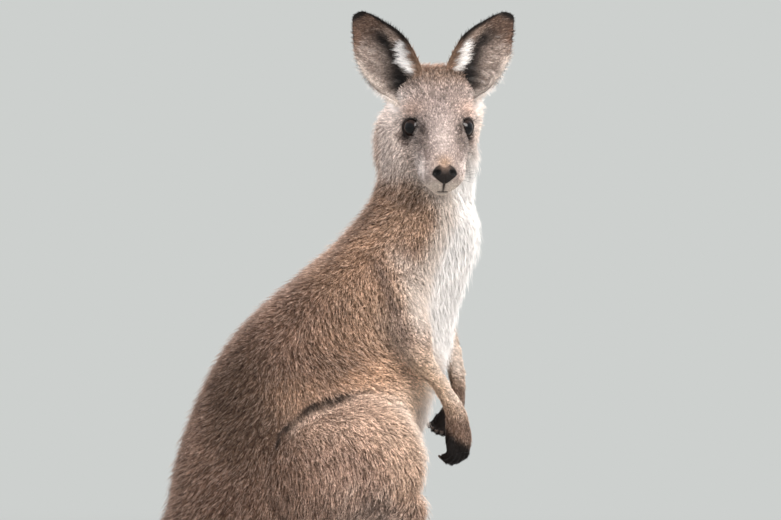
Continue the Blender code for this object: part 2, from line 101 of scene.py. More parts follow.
FOOT = [(-144, 73, 20, 5, 6, 10, 2), (-140, 73, 21, 12, 14, 22, 2.1), (-130, 73, 24, 15.5, 21, 26, 2.2),
        (-112, 73, 25, 17, 24, 27, 2.3), (-86, 74, 21, 17, 18, 23, 2.4), (-30, 76, 16, 17.5, 14, 18, 2.5),
        (20, 78, 14, 19, 12.5, 16, 2.5), (55, 79, 13, 19, 11, 15, 2.5), (74, 80, 12, 15, 9.5, 14, 2.4)]
TOES = [[(60, 80, 11.5, 10, 9, 13, 2.3), (98, 82, 10.5, 9.5, 8.5, 12, 2.3),
         (112, 82.5, 8.5, 7.5, 7, 10, 2.2)],
        [(34, 88, 12, 8, 9, 13, 2.2), (62, 96, 10.5, 8, 8, 12, 2.2), (86, 100.5, 8, 5.5, 5.5, 9, 2.2)],
        [(38, 69, 11, 4.5, 7, 12, 2.2), (62, 64.5, 9.5, 3.6, 6.5, 11, 2.2),
         (82, 62.2, 7.5, 3, 4.5, 8.5, 2.2)],
        [(38, 64, 11, 4.5, 7, 12, 2.2), (62, 58.5, 9.5, 3.6, 6.5, 11, 2.2),
         (82, 56.6, 7.5, 3, 4.5, 8.5, 2.2)]]
FOOT_CLAWS = {"4": [(104, 82.5, 10, 5.4, 5.2, 6, 2), (120, 82.7, 8.6, 4.3, 4.6, 4.2, 2),
                    (130, 82.6, 5.6, 2.6, 2.8, 2.6, 2), (137, 82.5, 2.2, .5, .5, .5, 2)],
              "5": [(79, 99.7, 8.2, 3.8, 3.8, 4, 2), (92, 101.4, 6.6, 3, 3.1, 3, 2),
                    (99, 102.4, 4.4, 1.9, 2, 1.9, 2), (104, 103, 2, .4, .4, .4, 2)],
              "3": [(76, 62.1, 7.8, 2.4, 2.6, 2.6, 2), (86, 62, 6.2, 1.9, 2, 2, 2),
                    (94.5, 61.7, 2.6, .4, .4, .4, 2)],
              "2": [(76, 56.8, 7.8, 2.4, 2.6, 2.6, 2), (86, 56.6, 6.2, 1.9, 2, 2, 2),
                    (94.5, 56.4, 2.6, .4, .4, .4, 2)]}
LEFT_LEG_BACK = 13                         # mm the left leg stands further back
# Hands: the wrist, the way the digits hang, the way the palm faces.
HANDS = {"right": ((75.5, -53, 271), (-0.12, 0.1, -1), (-0.75, 0.66, 0)),
         "left": ((54, 41, 289), (-0.42, -0.05, -0.9), (-0.4, -0.6, -0.3))}
# Digits: mm and degrees from one to the next, half widths along one, lengths, the left ones' share of them.
DIGIT_SPREAD, DIGIT_FAN, DIGIT_THICK = 5.0, 4, (3.7, 3.7, 3.7 * 0.85, 3.7 * 0.45)
DIGIT_LENGTH, LEFT_HAND_SHORTER = (13, 17, 19, 17.5, 14), .62
WRISTS = {"right": (275, 75), "left": (306, 55)}   # where the dark of the hand begins: height and x


def unit(v):
    """Vectors brought to the length 1."""
    v = np.asarray(v, float)
    return v / np.maximum(np.linalg.norm(v, axis=-1, keepdims=True), 1e-12)


def ease(low, high, x):
    """0 below low, 1 above high, 3t^2 - 2t^3 between."""
    t = np.clip((x - low) / (high - low), 0, 1)
    return t * t * (3 - 2 * t)


def hill(points, centre, radii):
    """exp(-d^2), d being the distance from the centre in radii."""
    return np.exp(-(((points - np.array(centre, float)) / np.array(radii, float)) ** 2).sum(-1))


def tone(*rgb):
    """Linear colour of an 8-bit screen colour."""
    c = np.array(rgb, float) / 255
    return np.where(c < 0.04045, c / 12.92, ((c + 0.055) / 1.055) ** 2.4)


def noise(points, size, seed=0):
    """Value noise between -1 and 1: random numbers at lattice corners, blended by 3t^2 - 2t^3."""
    q = np.asarray(points) / size
    cell, factors = np.floor(q).astype(np.int64), (374761393, 668265263, 1440662683)
    t = q - cell
    t = t * t * (3 - 2 * t)
    total = np.zeros(len(q))
    for corner in range(8):
        bits = np.array([corner & 1, corner >> 1 & 1, corner >> 2 & 1])
        h = ((cell + bits) @ np.array(factors) + seed * 1274126177) & 0x7FFFFFFF
        h = ((h ^ (h >> 13)) * 1274126177) & 0x7FFFFFFF
        total += np.prod(np.where(bits, t, 1 - t), axis=1) * (((h ^ (h >> 16)) & 0xFFFF) / 32767.5 - 1)
    return total


def flowing(x, at, values):
    """Cubic through the values at the given places, its slopes those of the chords on both sides."""
    at, values = np.asarray(at, float), np.asarray(values, float)
    slope = np.gradient(values, at, axis=0)
    i = np.clip(np.searchsorted(at, x, side="right") - 1, 0, len(at) - 2)
    column = (-1,) + (1,) * (values.ndim - 1)
    h = (at[i + 1] - at[i]).reshape(column)
    k = (x - at[i]).reshape(column) / h
    return ((2 * k**3 - 3 * k**2 + 1) * values[i] + (k**3 - 2 * k**2 + k) * h * slope[i]
            + (3 * k**2 - 2 * k**3) * values[i + 1] + (k**3 - k**2) * h * slope[i + 1])


def through(stations, start, stop, count):
    """Rows on the cubic through the stations (chord-length steps), from one station index to another."""
    s = np.asarray(stations, float)
    t = np.concatenate([[0], np.cumsum(np.linalg.norm(np.diff(s[:, :3], axis=0), axis=1))])
    return flowing(np.linspace(*np.interp([start, stop], np.arange(len(s)), t), count), t, s)


def framed(rows, along, side, up, coat):
    """Frames of a loft: centre, along, side, up, half width, depth above and below, squareness, coat."""
    return {"centre": rows[:, :3], "along": along, "side": side, "up": up, "wide": rows[:, 3],
            "over": rows[:, 4], "under": rows[:, 5], "power": rows[:, 6], "coat": coat}


def limb(stations, count, start=0, stop=None, across=(0, -1, 0), coat=0.0):
    """Frames along a limb; the coat is one depth, or frame numbers with the depth at each."""
    rows = through(stations, start, len(stations) - 1 if stop is None else stop, count)
    along = unit(np.gradient(rows[:, :3], axis=0))
    across = np.asarray(across, float)
    side = unit(across - (along @ across)[:, None] * along)
    if isinstance(coat, tuple):
        coat = np.interp(np.arange(count), *coat)
    return framed(rows, along, side, np.cross(side, along), coat)


def spine_frames(count=160):
    """Frames between the dorsal and the ventral line; the sections are turned by the twist, and the lower
    trunk is squarer than the rest."""
    back_x, back_z, front_x, front_z, wide, shift, twist = np.array(SPINE, float).T
    table = np.column_stack([(back_x + front_x) / 2, shift, (back_z + front_z) / 2, (back_x - front_x) / 2,
                             (back_z - front_z) / 2, wide, twist, SPINE_COAT])
    rows = through(table, 0, len(SPINE) - 1, count)
    up = np.stack([rows[:, 3], np.zeros(count), rows[:, 4]], 1)
    lift = np.linalg.norm(up, axis=1)
    up, side, turn = unit(up), np.tile([0.0, -1, 0], (count, 1)), np.radians(rows[:, 6:7])
    side, up = side * np.cos(turn) - up * np.sin(turn), up * np.cos(turn) + side * np.sin(turn)
    squarer = np.exp(-((rows[:, 2] - 360) / 75) ** 4) * (rows[:, 5] > 55)
    shape = np.column_stack([rows[:, :3], rows[:, 5], lift, lift, 2.15 + squarer])
    return framed(shape, unit(np.cross(up, [0, -1, 0])), side, up, rows[:, 7])


AHEAD = np.array([math.cos(HEAD_TURN), math.sin(HEAD_TURN), 0])
HEAD_F = AHEAD * math.cos(HEAD_NOD) - np.array([0, 0, math.sin(HEAD_NOD)])
HEAD_U = AHEAD * math.sin(HEAD_NOD) + np.array([0, 0, math.cos(HEAD_NOD)])
HEAD_R = np.cross(HEAD_F, HEAD_U)
HEAD_AXES = np.array([HEAD_F, HEAD_R, HEAD_U])
EYE_AXIS = unit(EYE_OUT)
EYE_FRONT = unit(np.cross(np.cross(EYE_AXIS, [1, -0.25, -0.12]), EYE_AXIS))
EYE_RISE = np.cross(EYE_FRONT, EYE_AXIS)
EYE_RISE = EYE_RISE * np.sign(EYE_RISE[2])


def in_body(point):
    """Body coordinates of points given in head axes, mm."""
    return HEAD_ORIGIN + np.asarray(point, float) @ HEAD_AXES


def in_head(point):
    """Head axes coordinates of points given in body coordinates, mm."""
    return (point - HEAD_ORIGIN) @ HEAD_AXES.T


def head_frames(count=70):
    """Frames along the head's forward axis."""
    stations = [(*in_body((f, 0, u)), w, h, h, 2.2, coat) for f, u, w, h, coat in HEAD]
    rows = through(stations, 0, len(HEAD) - 1, count)
    one = np.ones((count, 1))
    return framed(rows, one * HEAD_F, one * HEAD_R, one * HEAD_U, rows[:, 7])


def tube(rings, sides):
    """Quads between rings of points, each ring closed on itself."""
    i, j = np.arange(rings - 1)[:, None] * sides, np.arange(sides)[None]
    p, q = (i + j).ravel(), (i + (j + 1) % sides).ravel()
    return np.stack([p, p + sides, q + sides, q], 1)


def halved(quads):
    """Two triangles for each quad."""
    return np.concatenate([quads[:, [0, 1, 2]], quads[:, [0, 2, 3]]])


def capped(rings, sides):
    """Triangles of a tube whose ends close round two more points, first the one at the start."""
    k, n = np.arange(sides), (np.arange(sides) + 1) % sides
    end, first = (rings - 1) * sides, np.full(sides, rings * sides)
    return np.concatenate([halved(tube(rings, sides)), np.stack([first, k, n], 1),
                           np.stack([first + 1, end + n, end + k], 1)])


def shell(frames, sides):
    """Closed loft of |x/w|^n + |y/h|^n = 1 sections, drawn in by the depth of the coat: points, faces."""
    a = np.linspace(0, 2 * math.pi, sides, endpoint=False)
    power = (2.0 / frames["power"])[:, None]
    c, s = (np.sign(w) * np.abs(w) ** power for w in (np.cos(a), np.sin(a)))
    wide, over, under = (np.maximum(frames[key] - frames["coat"], THINNEST)[:, None]
                         for key in ("wide", "over", "under"))
    wide, high = c * wide, s * np.where(s > 0, over, under)
    points = (frames["centre"][:, None] + frames["side"][:, None] * wide[..., None]
              + frames["up"][:, None] * high[..., None])
    count = len(points)
    ends = [list(range(sides)), list(range((count - 1) * sides, count * sides))[::-1]]
    return points.reshape(-1, 3), tube(count, sides).tolist() + ends


def merged(parts):
    """Several (points, faces) as one."""
    points, faces, start = [], [], 0
    for some, theirs in parts:
        points.append(some)
        faces += [[v + start for v in face] for face in theirs]
        start += len(some)
    return np.concatenate(points), faces


def plain_mesh(name, points, faces):
    mesh = bpy.data.meshes.new(name)
    mesh.from_pydata(points.tolist(), [], faces if isinstance(faces, list) else faces.tolist())
    mesh.update()
    return mesh


def remeshed(parts, voxel):
    """One closed surface round all the parts: (points in mm, quads)."""
    points, faces = merged(parts)
    mesh = plain_mesh("form", points * MM, faces)
    form = bpy.data.objects.new("form", mesh)
    bpy.context.scene.collection.objects.link(form)
    modifier = form.modifiers.new("skin", "REMESH")
    modifier.mode, modifier.voxel_size = "VOXEL", voxel * MM
    made = form.evaluated_get(bpy.context.evaluated_depsgraph_get()).to_mesh()
    points = np.empty(len(made.vertices) * 3, np.float32)
    made.vertices.foreach_get("co", points)
    quads = np.empty(len(made.polygons) * 4, np.int32)
    made.polygons.foreach_get("vertices", quads)
    bpy.data.objects.remove(form)
    bpy.data.meshes.remove(mesh)
    return points.reshape(-1, 3).astype(float) / MM, quads.reshape(-1, 4)


def edges_of(faces):
    ends = np.concatenate([faces[:, [k, (k + 1) % faces.shape[1]]] for k in range(faces.shape[1])])
    ends = ends[ends[:, 0] != ends[:, 1]]
    return np.unique(np.sort(ends, axis=1), axis=0)


def relaxed(points, ends, rounds, keep=None, shrink=0.53):
    """Each round moves a point half way to the mean of its neighbours, then a little more than that back."""
    count = len(points)
    share = 1.0 / np.maximum(np.bincount(ends.ravel(), minlength=count), 1)[:, None]
    amount = 1.0 if keep is None else (1 - keep)[:, None]
    for step in range(2 * rounds):
        total = np.stack([np.bincount(ends[:, 0], points[ends[:, 1], k], count)
                          + np.bincount(ends[:, 1], points[ends[:, 0], k], count) for k in range(3)], 1)
        points = points + (total * share - points) * amount * (0.5 if step % 2 == 0 else -shrink)
    return points


def normals_of(points, tris):
    """Area-weighted vertex normals."""
    corner, count = points[tris], len(points)
    n = np.cross(corner[:, 1] - corner[:, 0], corner[:, 2] - corner[:, 0])
    sums = [sum(np.bincount(tris[:, c], n[:, k], count) for c in range(3)) for k in range(3)]
    return unit(np.stack(sums, 1))


def refined(points, faces, rules):
    """Splits in four, rule by rule, each face whose centre the rule chooses: (points, triangles)."""
    mesh = plain_mesh("fine", points, faces)
    for rule in rules:
        work = bmesh.new()
        work.from_mesh(mesh)
        centres = np.empty(len(mesh.polygons) * 3, np.float32)
        mesh.polygons.foreach_get("center", centres)
        work.faces.ensure_lookup_table()
        picked = {edge for k in np.flatnonzero(rule(centres.reshape(-1, 3))) for edge in work.faces[k].edges}
        bmesh.ops.subdivide_edges(work, edges=list(picked), cuts=1, use_grid_fill=True)
        work.to_mesh(mesh)
        work.free()
    points = np.empty(len(mesh.vertices) * 3, np.float32)
    mesh.vertices.foreach_get("co", points)
    mesh.calc_loop_triangles()
    tris = np.empty(len(mesh.loop_triangles) * 3, np.int32)
    mesh.loop_triangles.foreach_get("vertices", tris)
    bpy.data.meshes.remove(mesh)
    return points.reshape(-1, 3).astype(float), tris.reshape(-1, 3).astype(np.int64)


def standing(stations, side):
    """A leg's stations on one side; the left leg stands a little further back."""
    return [(x - LEFT_LEG_BACK, y, *rest) if side == "left" else (x, -y, *rest) for x, y, *rest in stations]


def digits_of(side):
    """Paths of the five digits of a hand, with the way each claw hooks, the way the digit points and the
    direction across the palm."""
    wrist, down, palm = (np.array(v, float) for v in HANDS[side])
    down = unit(down)
    palm = unit(palm - (palm @ down) * down)
    across = np.cross(down, palm)
    found = []
    for k, length in enumerate(DIGIT_LENGTH):
        fan = math.radians((k - 2) * DIGIT_FAN)
        ahead = down * math.cos(fan) + across * math.sin(fan)
        root = wrist + across * (k - 2) * DIGIT_SPREAD - down * 6
        ahead = ahead * (1 if side == "right" else LEFT_HAND_SHORTER)
        path = [root, root + ahead * (length * 0.62 + 10) + palm * 1.0,
                root + ahead * (length * .95 + 9.5) + palm * 8]
        found.append((np.array(path), unit(ahead * 0.15 + palm), ahead, across))
    return found


BONES = {"spine": spine_frames(), "head": head_frames()}
for which in SIGN:
    BONES["arm_" + which] = limb(ARM[which], 70)
    for part_name, stations_of in (("thigh_", THIGH), ("shank_", SHANK), ("foot_", FOOT)):
        BONES[part_name + which] = limb(standing(stations_of, which), 60)
# Bones that each surface follows.
BONES_OF = {"body": ["spine", "head", "arm_right", "arm_left", "thigh_right", "thigh_left", "shank_right",
                     "shank_left"],
            "hand_right": ["arm_right"], "hand_left": ["arm_left"],
            "foot_right": ["foot_right", "shank_right"], "foot_left": ["foot_left", "shank_left"]}


def place(points):
    """For each bone: how far along it the nearest frame is, 0 to 1, the frame's number, the distance from the
    axis in half widths, the place across and above the axis in the same measure, and the gap outside its
    surface, mm."""
    found = {}
    for name, bone in BONES.items():
        near = ((bone["centre"] ** 2).sum(1) - 2 * points @ bone["centre"].T).argmin(1)
        off = points - bone["centre"][near]
        x = (off * bone["side"][near]).sum(1) / bone["wide"][near]
        h = (off * bone["up"][near]).sum(1)
        h = h / np.where(h > 0, bone["over"][near], bone["under"][near])
        t = (off * bone["along"][near]).sum(1) / bone["wide"][near]
        far = np.sqrt(x * x + h * h + t * t)
        found[name] = {"s": near / (len(bone["centre"]) - 1), "near": near, "far": far, "x": x, "h": h,
                       "gap": np.linalg.norm(off, axis=1) * np.maximum(1 - 1 / np.maximum(far, 1e-6), 0)}
    return found


def between(lie, kind):
    """How evenly a point lies between the trunk and a limb of this kind: 0 in the fold between them."""
    return np.minimum.reduce([np.abs(lie[kind + side]["far"] - lie["spine"]["far"]) for side in SIGN])


def mirrored(points):
    """The points with the left half laid over the right one."""
    return np.column_stack([points[:, 0], np.abs(points[:, 1]), points[:, 2]])


def body_surface():
    """Trunk, tail, neck, head, arms and legs in one closed surface, finest round the eyes, nose and mouth."""
    parts = [shell(spine_frames(150), 48), shell(head_frames(60), 48)]
    for side in SIGN:
        arm = limb(ARM[side], 60, 0, 7.6, coat=([0, 18, 34, 59], [6, 4.5, 2.6, 2]))
        leg = limb(standing(THIGH, side), 50, coat=6.5)
        calf = limb(standing(SHANK, side), 50, coat=([0, 20, 49], [6, 4, 3]))
        parts += [shell(arm, 28), shell(leg, 44), shell(calf, 32)]
    points, quads = remeshed(parts, BODY_VOXEL)
    ends = edges_of(quads)
    lie = place(points)
    crease, height = between(lie, "thigh_"), points[:, 2]
    near_thigh = np.minimum(lie["thigh_right"]["far"], lie["thigh_left"]["far"])
    keep = 0.8 * (1 - ease(0.05, 0.3, crease)) * (1 - ease(1.2, 1.5, near_thigh)) * ease(255, 275, height)
    points = relaxed(points, ends, 6, keep)
    height = points[:, 2]
    join = (1 - ease(.15, .6, crease)) * ease(1.5, 1.25, near_thigh) * ease(-45, -15, points[:, 0])
    join = join * ease(250, 290, height)
    join = np.maximum(join, (1 - ease(.2, .7, between(lie, "arm_"))) * ease(395, 425, height))
    points = relaxed(points, ends, 25, 1 - join, .1)

    def in_front_of(start):
        """Rule that picks the faces of the head further forward than the start, mm."""
        def rule(centres):
            q = in_head(centres / MM)
            return (q[:, 0] > start) & ((q ** 2).sum(1) < HEAD_REACH ** 2) & (q[:, 2] > -50)
        return rule

    def features(centres):
        q = mirrored(in_head(centres / MM))
        by_eye, by_mouth = ((q - EYE_CENTRE) ** 2).sum(1) < 17 ** 2, (q[:, 0] > 52) & (q[:, 2] > -38)
        return (by_eye | by_mouth) & ((q ** 2).sum(1) < HEAD_REACH ** 2)
    points, tris = refined(points * MM, quads, [in_front_of(-64), in_front_of(-16), features])
    points = points / MM
    head_only = ease(1.35, 1.1, np.linalg.norm(in_head(points) / [95, 66, 66], axis=1))
    points = relaxed(points, edges_of(tris), 12, 1 - head_only)
    return sculpted(points, tris), tris


# Swellings and hollows of the head: f, |r|, u, radius, height in mm.
FACE_FORMS = [(20, 21, 5, 8, -1.8), (-2, 26, 30, 9, 1.6), (-14, 41, -6, 15, 1.5), (51, 20, -20, 9, 1.8),
              (32, 25, -16, 9, -0.9), (57, 0, -38, 7, 1.0), (30, 0, 20, 10, 0.6), (-12, 12, 44, 12, 0.8),
              (-10, 0, 49, 9, -0.8), (58, 12, -7, 5, 0.9), (4, 34, -27, 15, 6.5), (-48, 22, 50, 9, 6),
              (8, 31, -5, 6, 3.2)]


def lid_edge(turn):
    """Angle from the eye's axis to the lids' edge, degrees, for each direction round the eye: an ellipse."""
    return 1 / np.sqrt((np.cos(turn) / EYE_OPEN[0]) ** 2 + (np.sin(turn) / EYE_OPEN[1]) ** 2)


def eye_angles(q):
    """Angle from each eye's axis, that of the lids' edge in the same direction, the distance from the eye's
    centre, and the height over it."""
    q = mirrored(q) - EYE_CENTRE
    far = np.linalg.norm(q, axis=1)
    angle = np.degrees(np.arccos(np.clip(q @ EYE_AXIS / far, -1, 1)))
    x, y = q @ EYE_FRONT, q @ EYE_RISE
    return angle, lid_edge(np.arctan2(y, x)), far, y


def nose_shape(q):
    """Nose pad seen square on, a rounded triangle with a notch in its upper edge: how far inside its edge a
    point is, mm, how far inside a nostril, 1 at its middle, and how far below the pad's middle, mm."""
    across, down = np.abs(q[:, 1]), (q[:, 0] - 64.5) * 0.36 - (q[:, 2] + 7.5) * 0.93
    half = np.where(down < 2, 13.2 * np.sqrt(np.clip(1 - ((down - 2) / 11.5) ** 2, 0, 1)),
                    13.2 * np.clip(1 - (down - 2) / 9.8, 0, 1) ** 0.8)
    inside = np.where((q[:, 0] > 52) & (np.abs(down) < 12.5), half - across, -9)
    inside = np.minimum(inside, np.hypot(across, down + 13.5) - 7)
    x, y = across - 9.0, down + 0.4
    x, y = x * 0.85 + y * 0.53, -x * 0.53 + y * 0.85
    return inside, 1 - np.sqrt((x / 5.0) ** 2 + (y / 2.8) ** 2), down


def mouth_line(q):
    """Height over the line where the lips meet, mm."""
    return q[:, 2] - np.interp(q[:, 0], [20, 40, 58, 68], [-22, -25.5, -30.5, -32.5])


def sculpted(points, tris):
    """Adds the lids, brows, cheeks, whisker pads, nose, lips and chin to the head."""
    q = in_head(points)
    here = np.flatnonzero(((q ** 2).sum(1) < 90 ** 2) & (q[:, 0] > -80))
    normal = normals_of(points, tris)[here] @ HEAD_AXES.T
    q = q[here]
    right_half = mirrored(q)
    move = sum(height * hill(right_half, (f, r, u), (radius,) * 3) for f, r, u, radius, height in FACE_FORMS)
    jaw = mouth_line(q)
    q[:, 1] *= 1 - 0.13 * ease(1, -7, jaw) * ease(12, 30, q[:, 0])
    q[:, 1] *= 1 - 0.26 * ease(-17, -35, q[:, 2]) * ease(36, 56, q[:, 0])
    across = np.abs(q[:, 1])
    move -= 1.5 * np.exp(-(jaw / 1.1) ** 2) * ease(24, 34, q[:, 0]) * (0.25 + 0.75 * ease(11, 7, across))
    inside, nostril, down = nose_shape(q)
    move -= 1.1 * np.exp(-(across / 0.8) ** 2) * ease(9, 11, down) * ease(-1, 1, jaw) * ease(50, 60, q[:, 0])
    groove = 0.7 * np.exp(-(across / 0.9) ** 2) * ease(0, 1, inside) * ease(0, 6, down)
    move += 1.5 * ease(-0.3, 1.6, inside) - groove
    move += (0.9 * np.exp(-((nostril + 0.25) / 0.3) ** 2) - 5.5 * ease(0, 0.8, nostril)) * ease(-3, 0, inside)
    angle, edge, _, y = eye_angles(right_half)
    over = angle - edge
    q = q + normal * (move * ease(2, 14, over))[:, None]
    centre = EYE_CENTRE * np.where(q[:, 1:2] < 0, [1, -1, 1], [1, 1, 1])
    ray = q - centre
    far = np.linalg.norm(ray, axis=1)
    lid = EYE_RADIUS + 1.3 + 0.5 * np.exp(-((over - 4) / 3) ** 2)
    lid -= 0.7 * np.exp(-((over - 17) / 4) ** 2) * (y > -3)
    lid += 0.045 * np.clip(over - 20, 0, 60)
    wanted = np.where(over < 0, EYE_RADIUS - 2.2, lid)
    outside = np.maximum(ease(9, 3, over) * (far < 19), (1 - ease(18, 46, over)) * ease(22, 15, far))
    share = np.where(over < 0, far < 19, outside)
    q = centre + ray / far[:, None] * (far + (wanted - far) * share)[:, None]
    points = points.copy()
    points[here] = in_body(q)
    return points


def hand_surface(side):
    """Palm and digits, closed, reaching up inside the forearm."""
    parts = [shell(limb(ARM[side], 26, 6.9, coat=([0, 5, 25], [4.5, 1.9, 1.5])), 24)]
    for path, _, _, across in digits_of(side):
        ends = [*path, path[2] + unit(path[2] - path[1]) * 2.2]
        rows = [(*p, w, w, w, 2) for p, w in zip(ends, DIGIT_THICK)]
        parts.append(shell(limb(rows, 14, across=across, coat=0.4), 14))
    points, quads = remeshed(parts, HAND_VOXEL)
    return relaxed(points, edges_of(quads), 4), halved(quads).astype(np.int64)


def foot_surface(side):
    """Long foot with its four toes, closed, reaching up inside the ankle."""
    parts = [shell(limb(standing(FOOT, side), 60, coat=2.0), 32),
             shell(limb(standing(SHANK, side), 14, 6.4, 8, coat=([0, 5, 13], [6.5, 2.6, 2.2])), 28)]
    parts += [shell(limb(standing(rows, side), 20, coat=0.9), 20) for rows in TOES]
    points, quads = remeshed(parts, FOOT_VOXEL)
    return relaxed(points, edges_of(quads), 3), halved(quads).astype(np.int64)


def ear_surface(side, rows=46, columns=31):
    """Cupped leaf of two sheets. Across the ear the section is an arc; its half widths and curl follow the
    length. Returns points, triangles, and for each point the share of the length, the place across (-1 inner
    edge, 1 outer) and 1 on the hollow side; with them the ear's directions along and across."""
    base, tip, inner, outer = EARS[side]
    outward_way = HEAD_R * np.sign(base[1])
    base, tip = in_body(base), in_body(tip)
    along = unit(tip - base)
    turn = HEAD_TURN - math.radians(8)
    facing = np.array([math.cos(turn), math.sin(turn), 0]) + 0.2 * outward_way
    facing = unit(facing - (facing @ along) * along)
    across = np.cross(along, facing)
    across = across * np.sign(across @ outward_way)
    s = 1 - 1.1 * (1 - np.linspace(0, 1, rows)) ** 1.25
    c = np.sin(np.linspace(-1, 1, columns) * math.pi / 2 * 0.92) / math.sin(math.pi / 2 * 0.92)
    inner, outer = flowing(s, EAR_AT, EAR_INNER) * inner, flowing(s, EAR_AT, EAR_OUTER) * outer
    curl = np.interp(s, EAR_CURL_AT, EAR_CURL)
    angle = c[None] * curl[:, None]
    radius = ((inner + outer) / 2 / np.sin(np.minimum(curl, math.pi / 2)))[:, None]
    sideways = radius * np.sin(angle) + ((outer - inner) / 2)[:, None]
    depth = radius * (1 - np.cos(angle)) * 0.8 * (1 - .8 * ease(.4, .1, s)[:, None] * ease(0, -.5, c)[None])
    middle = (base + along * (s * np.linalg.norm(tip - base))[:, None])[:, None]
    middle = middle + across * sideways[..., None] + facing * depth[..., None]
    normal = unit(np.cross(np.gradient(middle, axis=0), np.gradient(middle, axis=1)))
    normal *= np.sign((normal * facing).sum(-1).mean())
    thick = np.interp(s, [-.2, 0, .2, .5, 1], [3.2, 3.2, 2.0, 1.3, 0.9])[:, None]
    wall = (thick * (1 - 0.55 * np.abs(c[None]) ** 6))[..., None]
    points = np.concatenate([(middle + way * wall / 2).reshape(-1, 3) for way in (normal, -normal)])
    a = (np.arange(rows - 1)[:, None] * columns + np.arange(columns - 1)[None]).ravel()
    front = np.stack([a, a + 1, a + columns + 1, a + columns], 1)
    sheet = rows * columns

    def edge(line):
        return np.stack([line[:-1], line[:-1] + sheet, line[1:] + sheet, line[1:]], 1)
    low, left = np.arange(columns), np.arange(rows) * columns
    high, right = low + sheet - columns, left + columns - 1
    edges = [edge(line) for line in (low, high[::-1], left[::-1], right)]
    quads = np.concatenate([front, front[:, ::-1] + sheet, *edges])
    s, c = (np.tile(grid.ravel(), 2) for grid in np.broadcast_arrays(s[:, None], c[None]))
    facts = {"s": s, "c": c, "front": np.repeat([1.0, 0.0], sheet), "along": along, "across": across}
    return points, outward(points, halved(quads)), facts


def spread(lie, names, soft=4.5):
    """Share of each bone in each point: exp(-gap / soft), the gap being that outside its surface, mm."""
    weight = {name: np.exp(-lie[name]["gap"] / soft) + 1e-9 for name in names}
    total = sum(weight.values())
    return {name: w / total for name, w in weight.items()}


def mix(colour, other, amount):
    return colour + (np.asarray(other, float) - colour) * np.clip(amount, 0, 1)[:, None]


# Colours of the coat.
DARK, BACK, SADDLE, FLANK = tone(88, 68, 55), tone(104, 80, 67), tone(126, 100, 85), tone(160, 129, 107)
SAND, GOLD, GREY, SMOKE = tone(168, 140, 119), tone(190, 154, 127), tone(150, 130, 118), tone(140, 120, 110)
WHITE, CREAM, UMBER, SOOT = tone(254, 249, 245), tone(232, 216, 204), tone(106, 86, 80), tone(52, 38, 32)
BLACK, WARMER = tone(22, 15, 12), np.array([.17, .09, .02])   # the last is added to the body's middle tones

# Patches of the side: x, z, the two radii, colour. Each point takes their mean, weighted by exp(-d^2).
SIDE_PATCHES = [
    (-31, 462, 34, 32, FLANK), (24, 498, 24, 28, SAND), (-16, 516, 18, 18, tone(122, 96, 78)),
    (4, 415, 34, 36, tone(174, 145, 123)), (-85, 382, 42, 34, SADDLE), (-158, 350, 30, 46, DARK),
    (-145, 292, 36, 34, DARK), (-206, 255, 22, 50, SADDLE), (-178, 214, 34, 34, BACK),
    # The DARK patch at x -50, z 358 is painted shade, a band across the flank above the thigh.
    (-44, 384, 30, 20, FLANK), (-50, 358, 20, 12, DARK), (4, 344, 42, 16, GOLD), (-92, 318, 22, 14, FLANK),
    (-48, 298, 36, 20, tone(194, 166, 148)), (22, 290, 28, 46, tone(208, 176, 154)),
    (-40, 245, 38, 30, tone(168, 140, 125)), (-92, 232, 30, 36, SADDLE),
    (-10, 206, 26, 14, tone(146, 128, 118)), (-150, 120, 80, 50, SADDLE), (24, 524, 14, 9, DARK),
    (14, 582, 50, 24, tone(222, 203, 192)),
    (46, 322, 28, 42, tone(254, 226, 198)), (22, 462, 9, 18, tone(132, 112, 104))]
# Where the white of the belly and chest begins, by height: place in the section, 1 on the back, -1 in front.
WHITE_FROM = ([40, 200, 320, 345, 365, 397, 420, 450, 475, 493, 509, 530, 560],
              [-.75, -.95, -.92, -.86, -.66, -.36, -.18, -.16, -.2, -.25, -.28, -.2, 0])
# Coat along each kind of bone from 0 to 1, and along the head by f: length and width in mm, lift in radians,
# tufts and guard hairs per cm2, each as places and values.
HAIR = {"spine": [([0, .1, .3, .42, .55, .8, .9, 1], [7, 7, 8.5, 10, 10.5, 10, 9.5, 9]),
                  ([.45, 1], [1.0, .95]), ([0, .3, .5, 1], [.45, .62, .78, .72]),
                  ([0, .3, .45, 1], [42, 48, 56, 60]), ([0, .2, .42], [1.5, 2, 4])],
        "arm": [([0, .25, .5, .75, 1], [12, 10, 7, 5.5, 3.2]), ([0, .4, .75, 1], [1.05, .9, .75, .6]),
                ([0, .5, 1], [.5, .38, .34]), ([0, .4, .8, 1], [62, 75, 90, 100]), ([0, .4, .6], [6, 3, 1])],
        "thigh": [([0], [11.5]), ([0], [1.0]), ([0], [.55]), ([0], [58]), ([0], [6])],
        "shank": [([0, .3, .6, 1], [12, 10, 7, 5.5]), ([0, .4, 1], [1.05, .95, .8]), ([0, 1], [.5, .38]),
                  ([.4, 1], [58, 60]), ([0, .5], [6, 0])],
        "foot": [([0], [5.0]), ([0], [.8]), ([0], [.26]), ([0], [55]), ([0], [0])],
        "head": [([-60, -35, -10, 10, 30, 50, 64], [7.5, 6, 4.6, 3.4, 2.8, 2.4, 2.0]),
                 ([-60, -20, 10, 40, 64], [.95, .75, .55, .48, .42]), ([-60, 0, 60], [.65, .6, .45]),
                 ([-60, -20, 10, 40, 64], [60, 85, 130, 155, 160]), ([0], [0])]}
# The way the coat of the side lies, by place: x, z, the radii, the direction in x and z, strength.
SIDE_LIES = [(-30, 395, 60, 45, .75, -1, 1.2), (0, 350, 62, 26, 1, -.14, 7), (-70, 330, 40, 26, .8, -.7, 1.2),
             (60, 460, 30, 60, 0, -1, .8)]
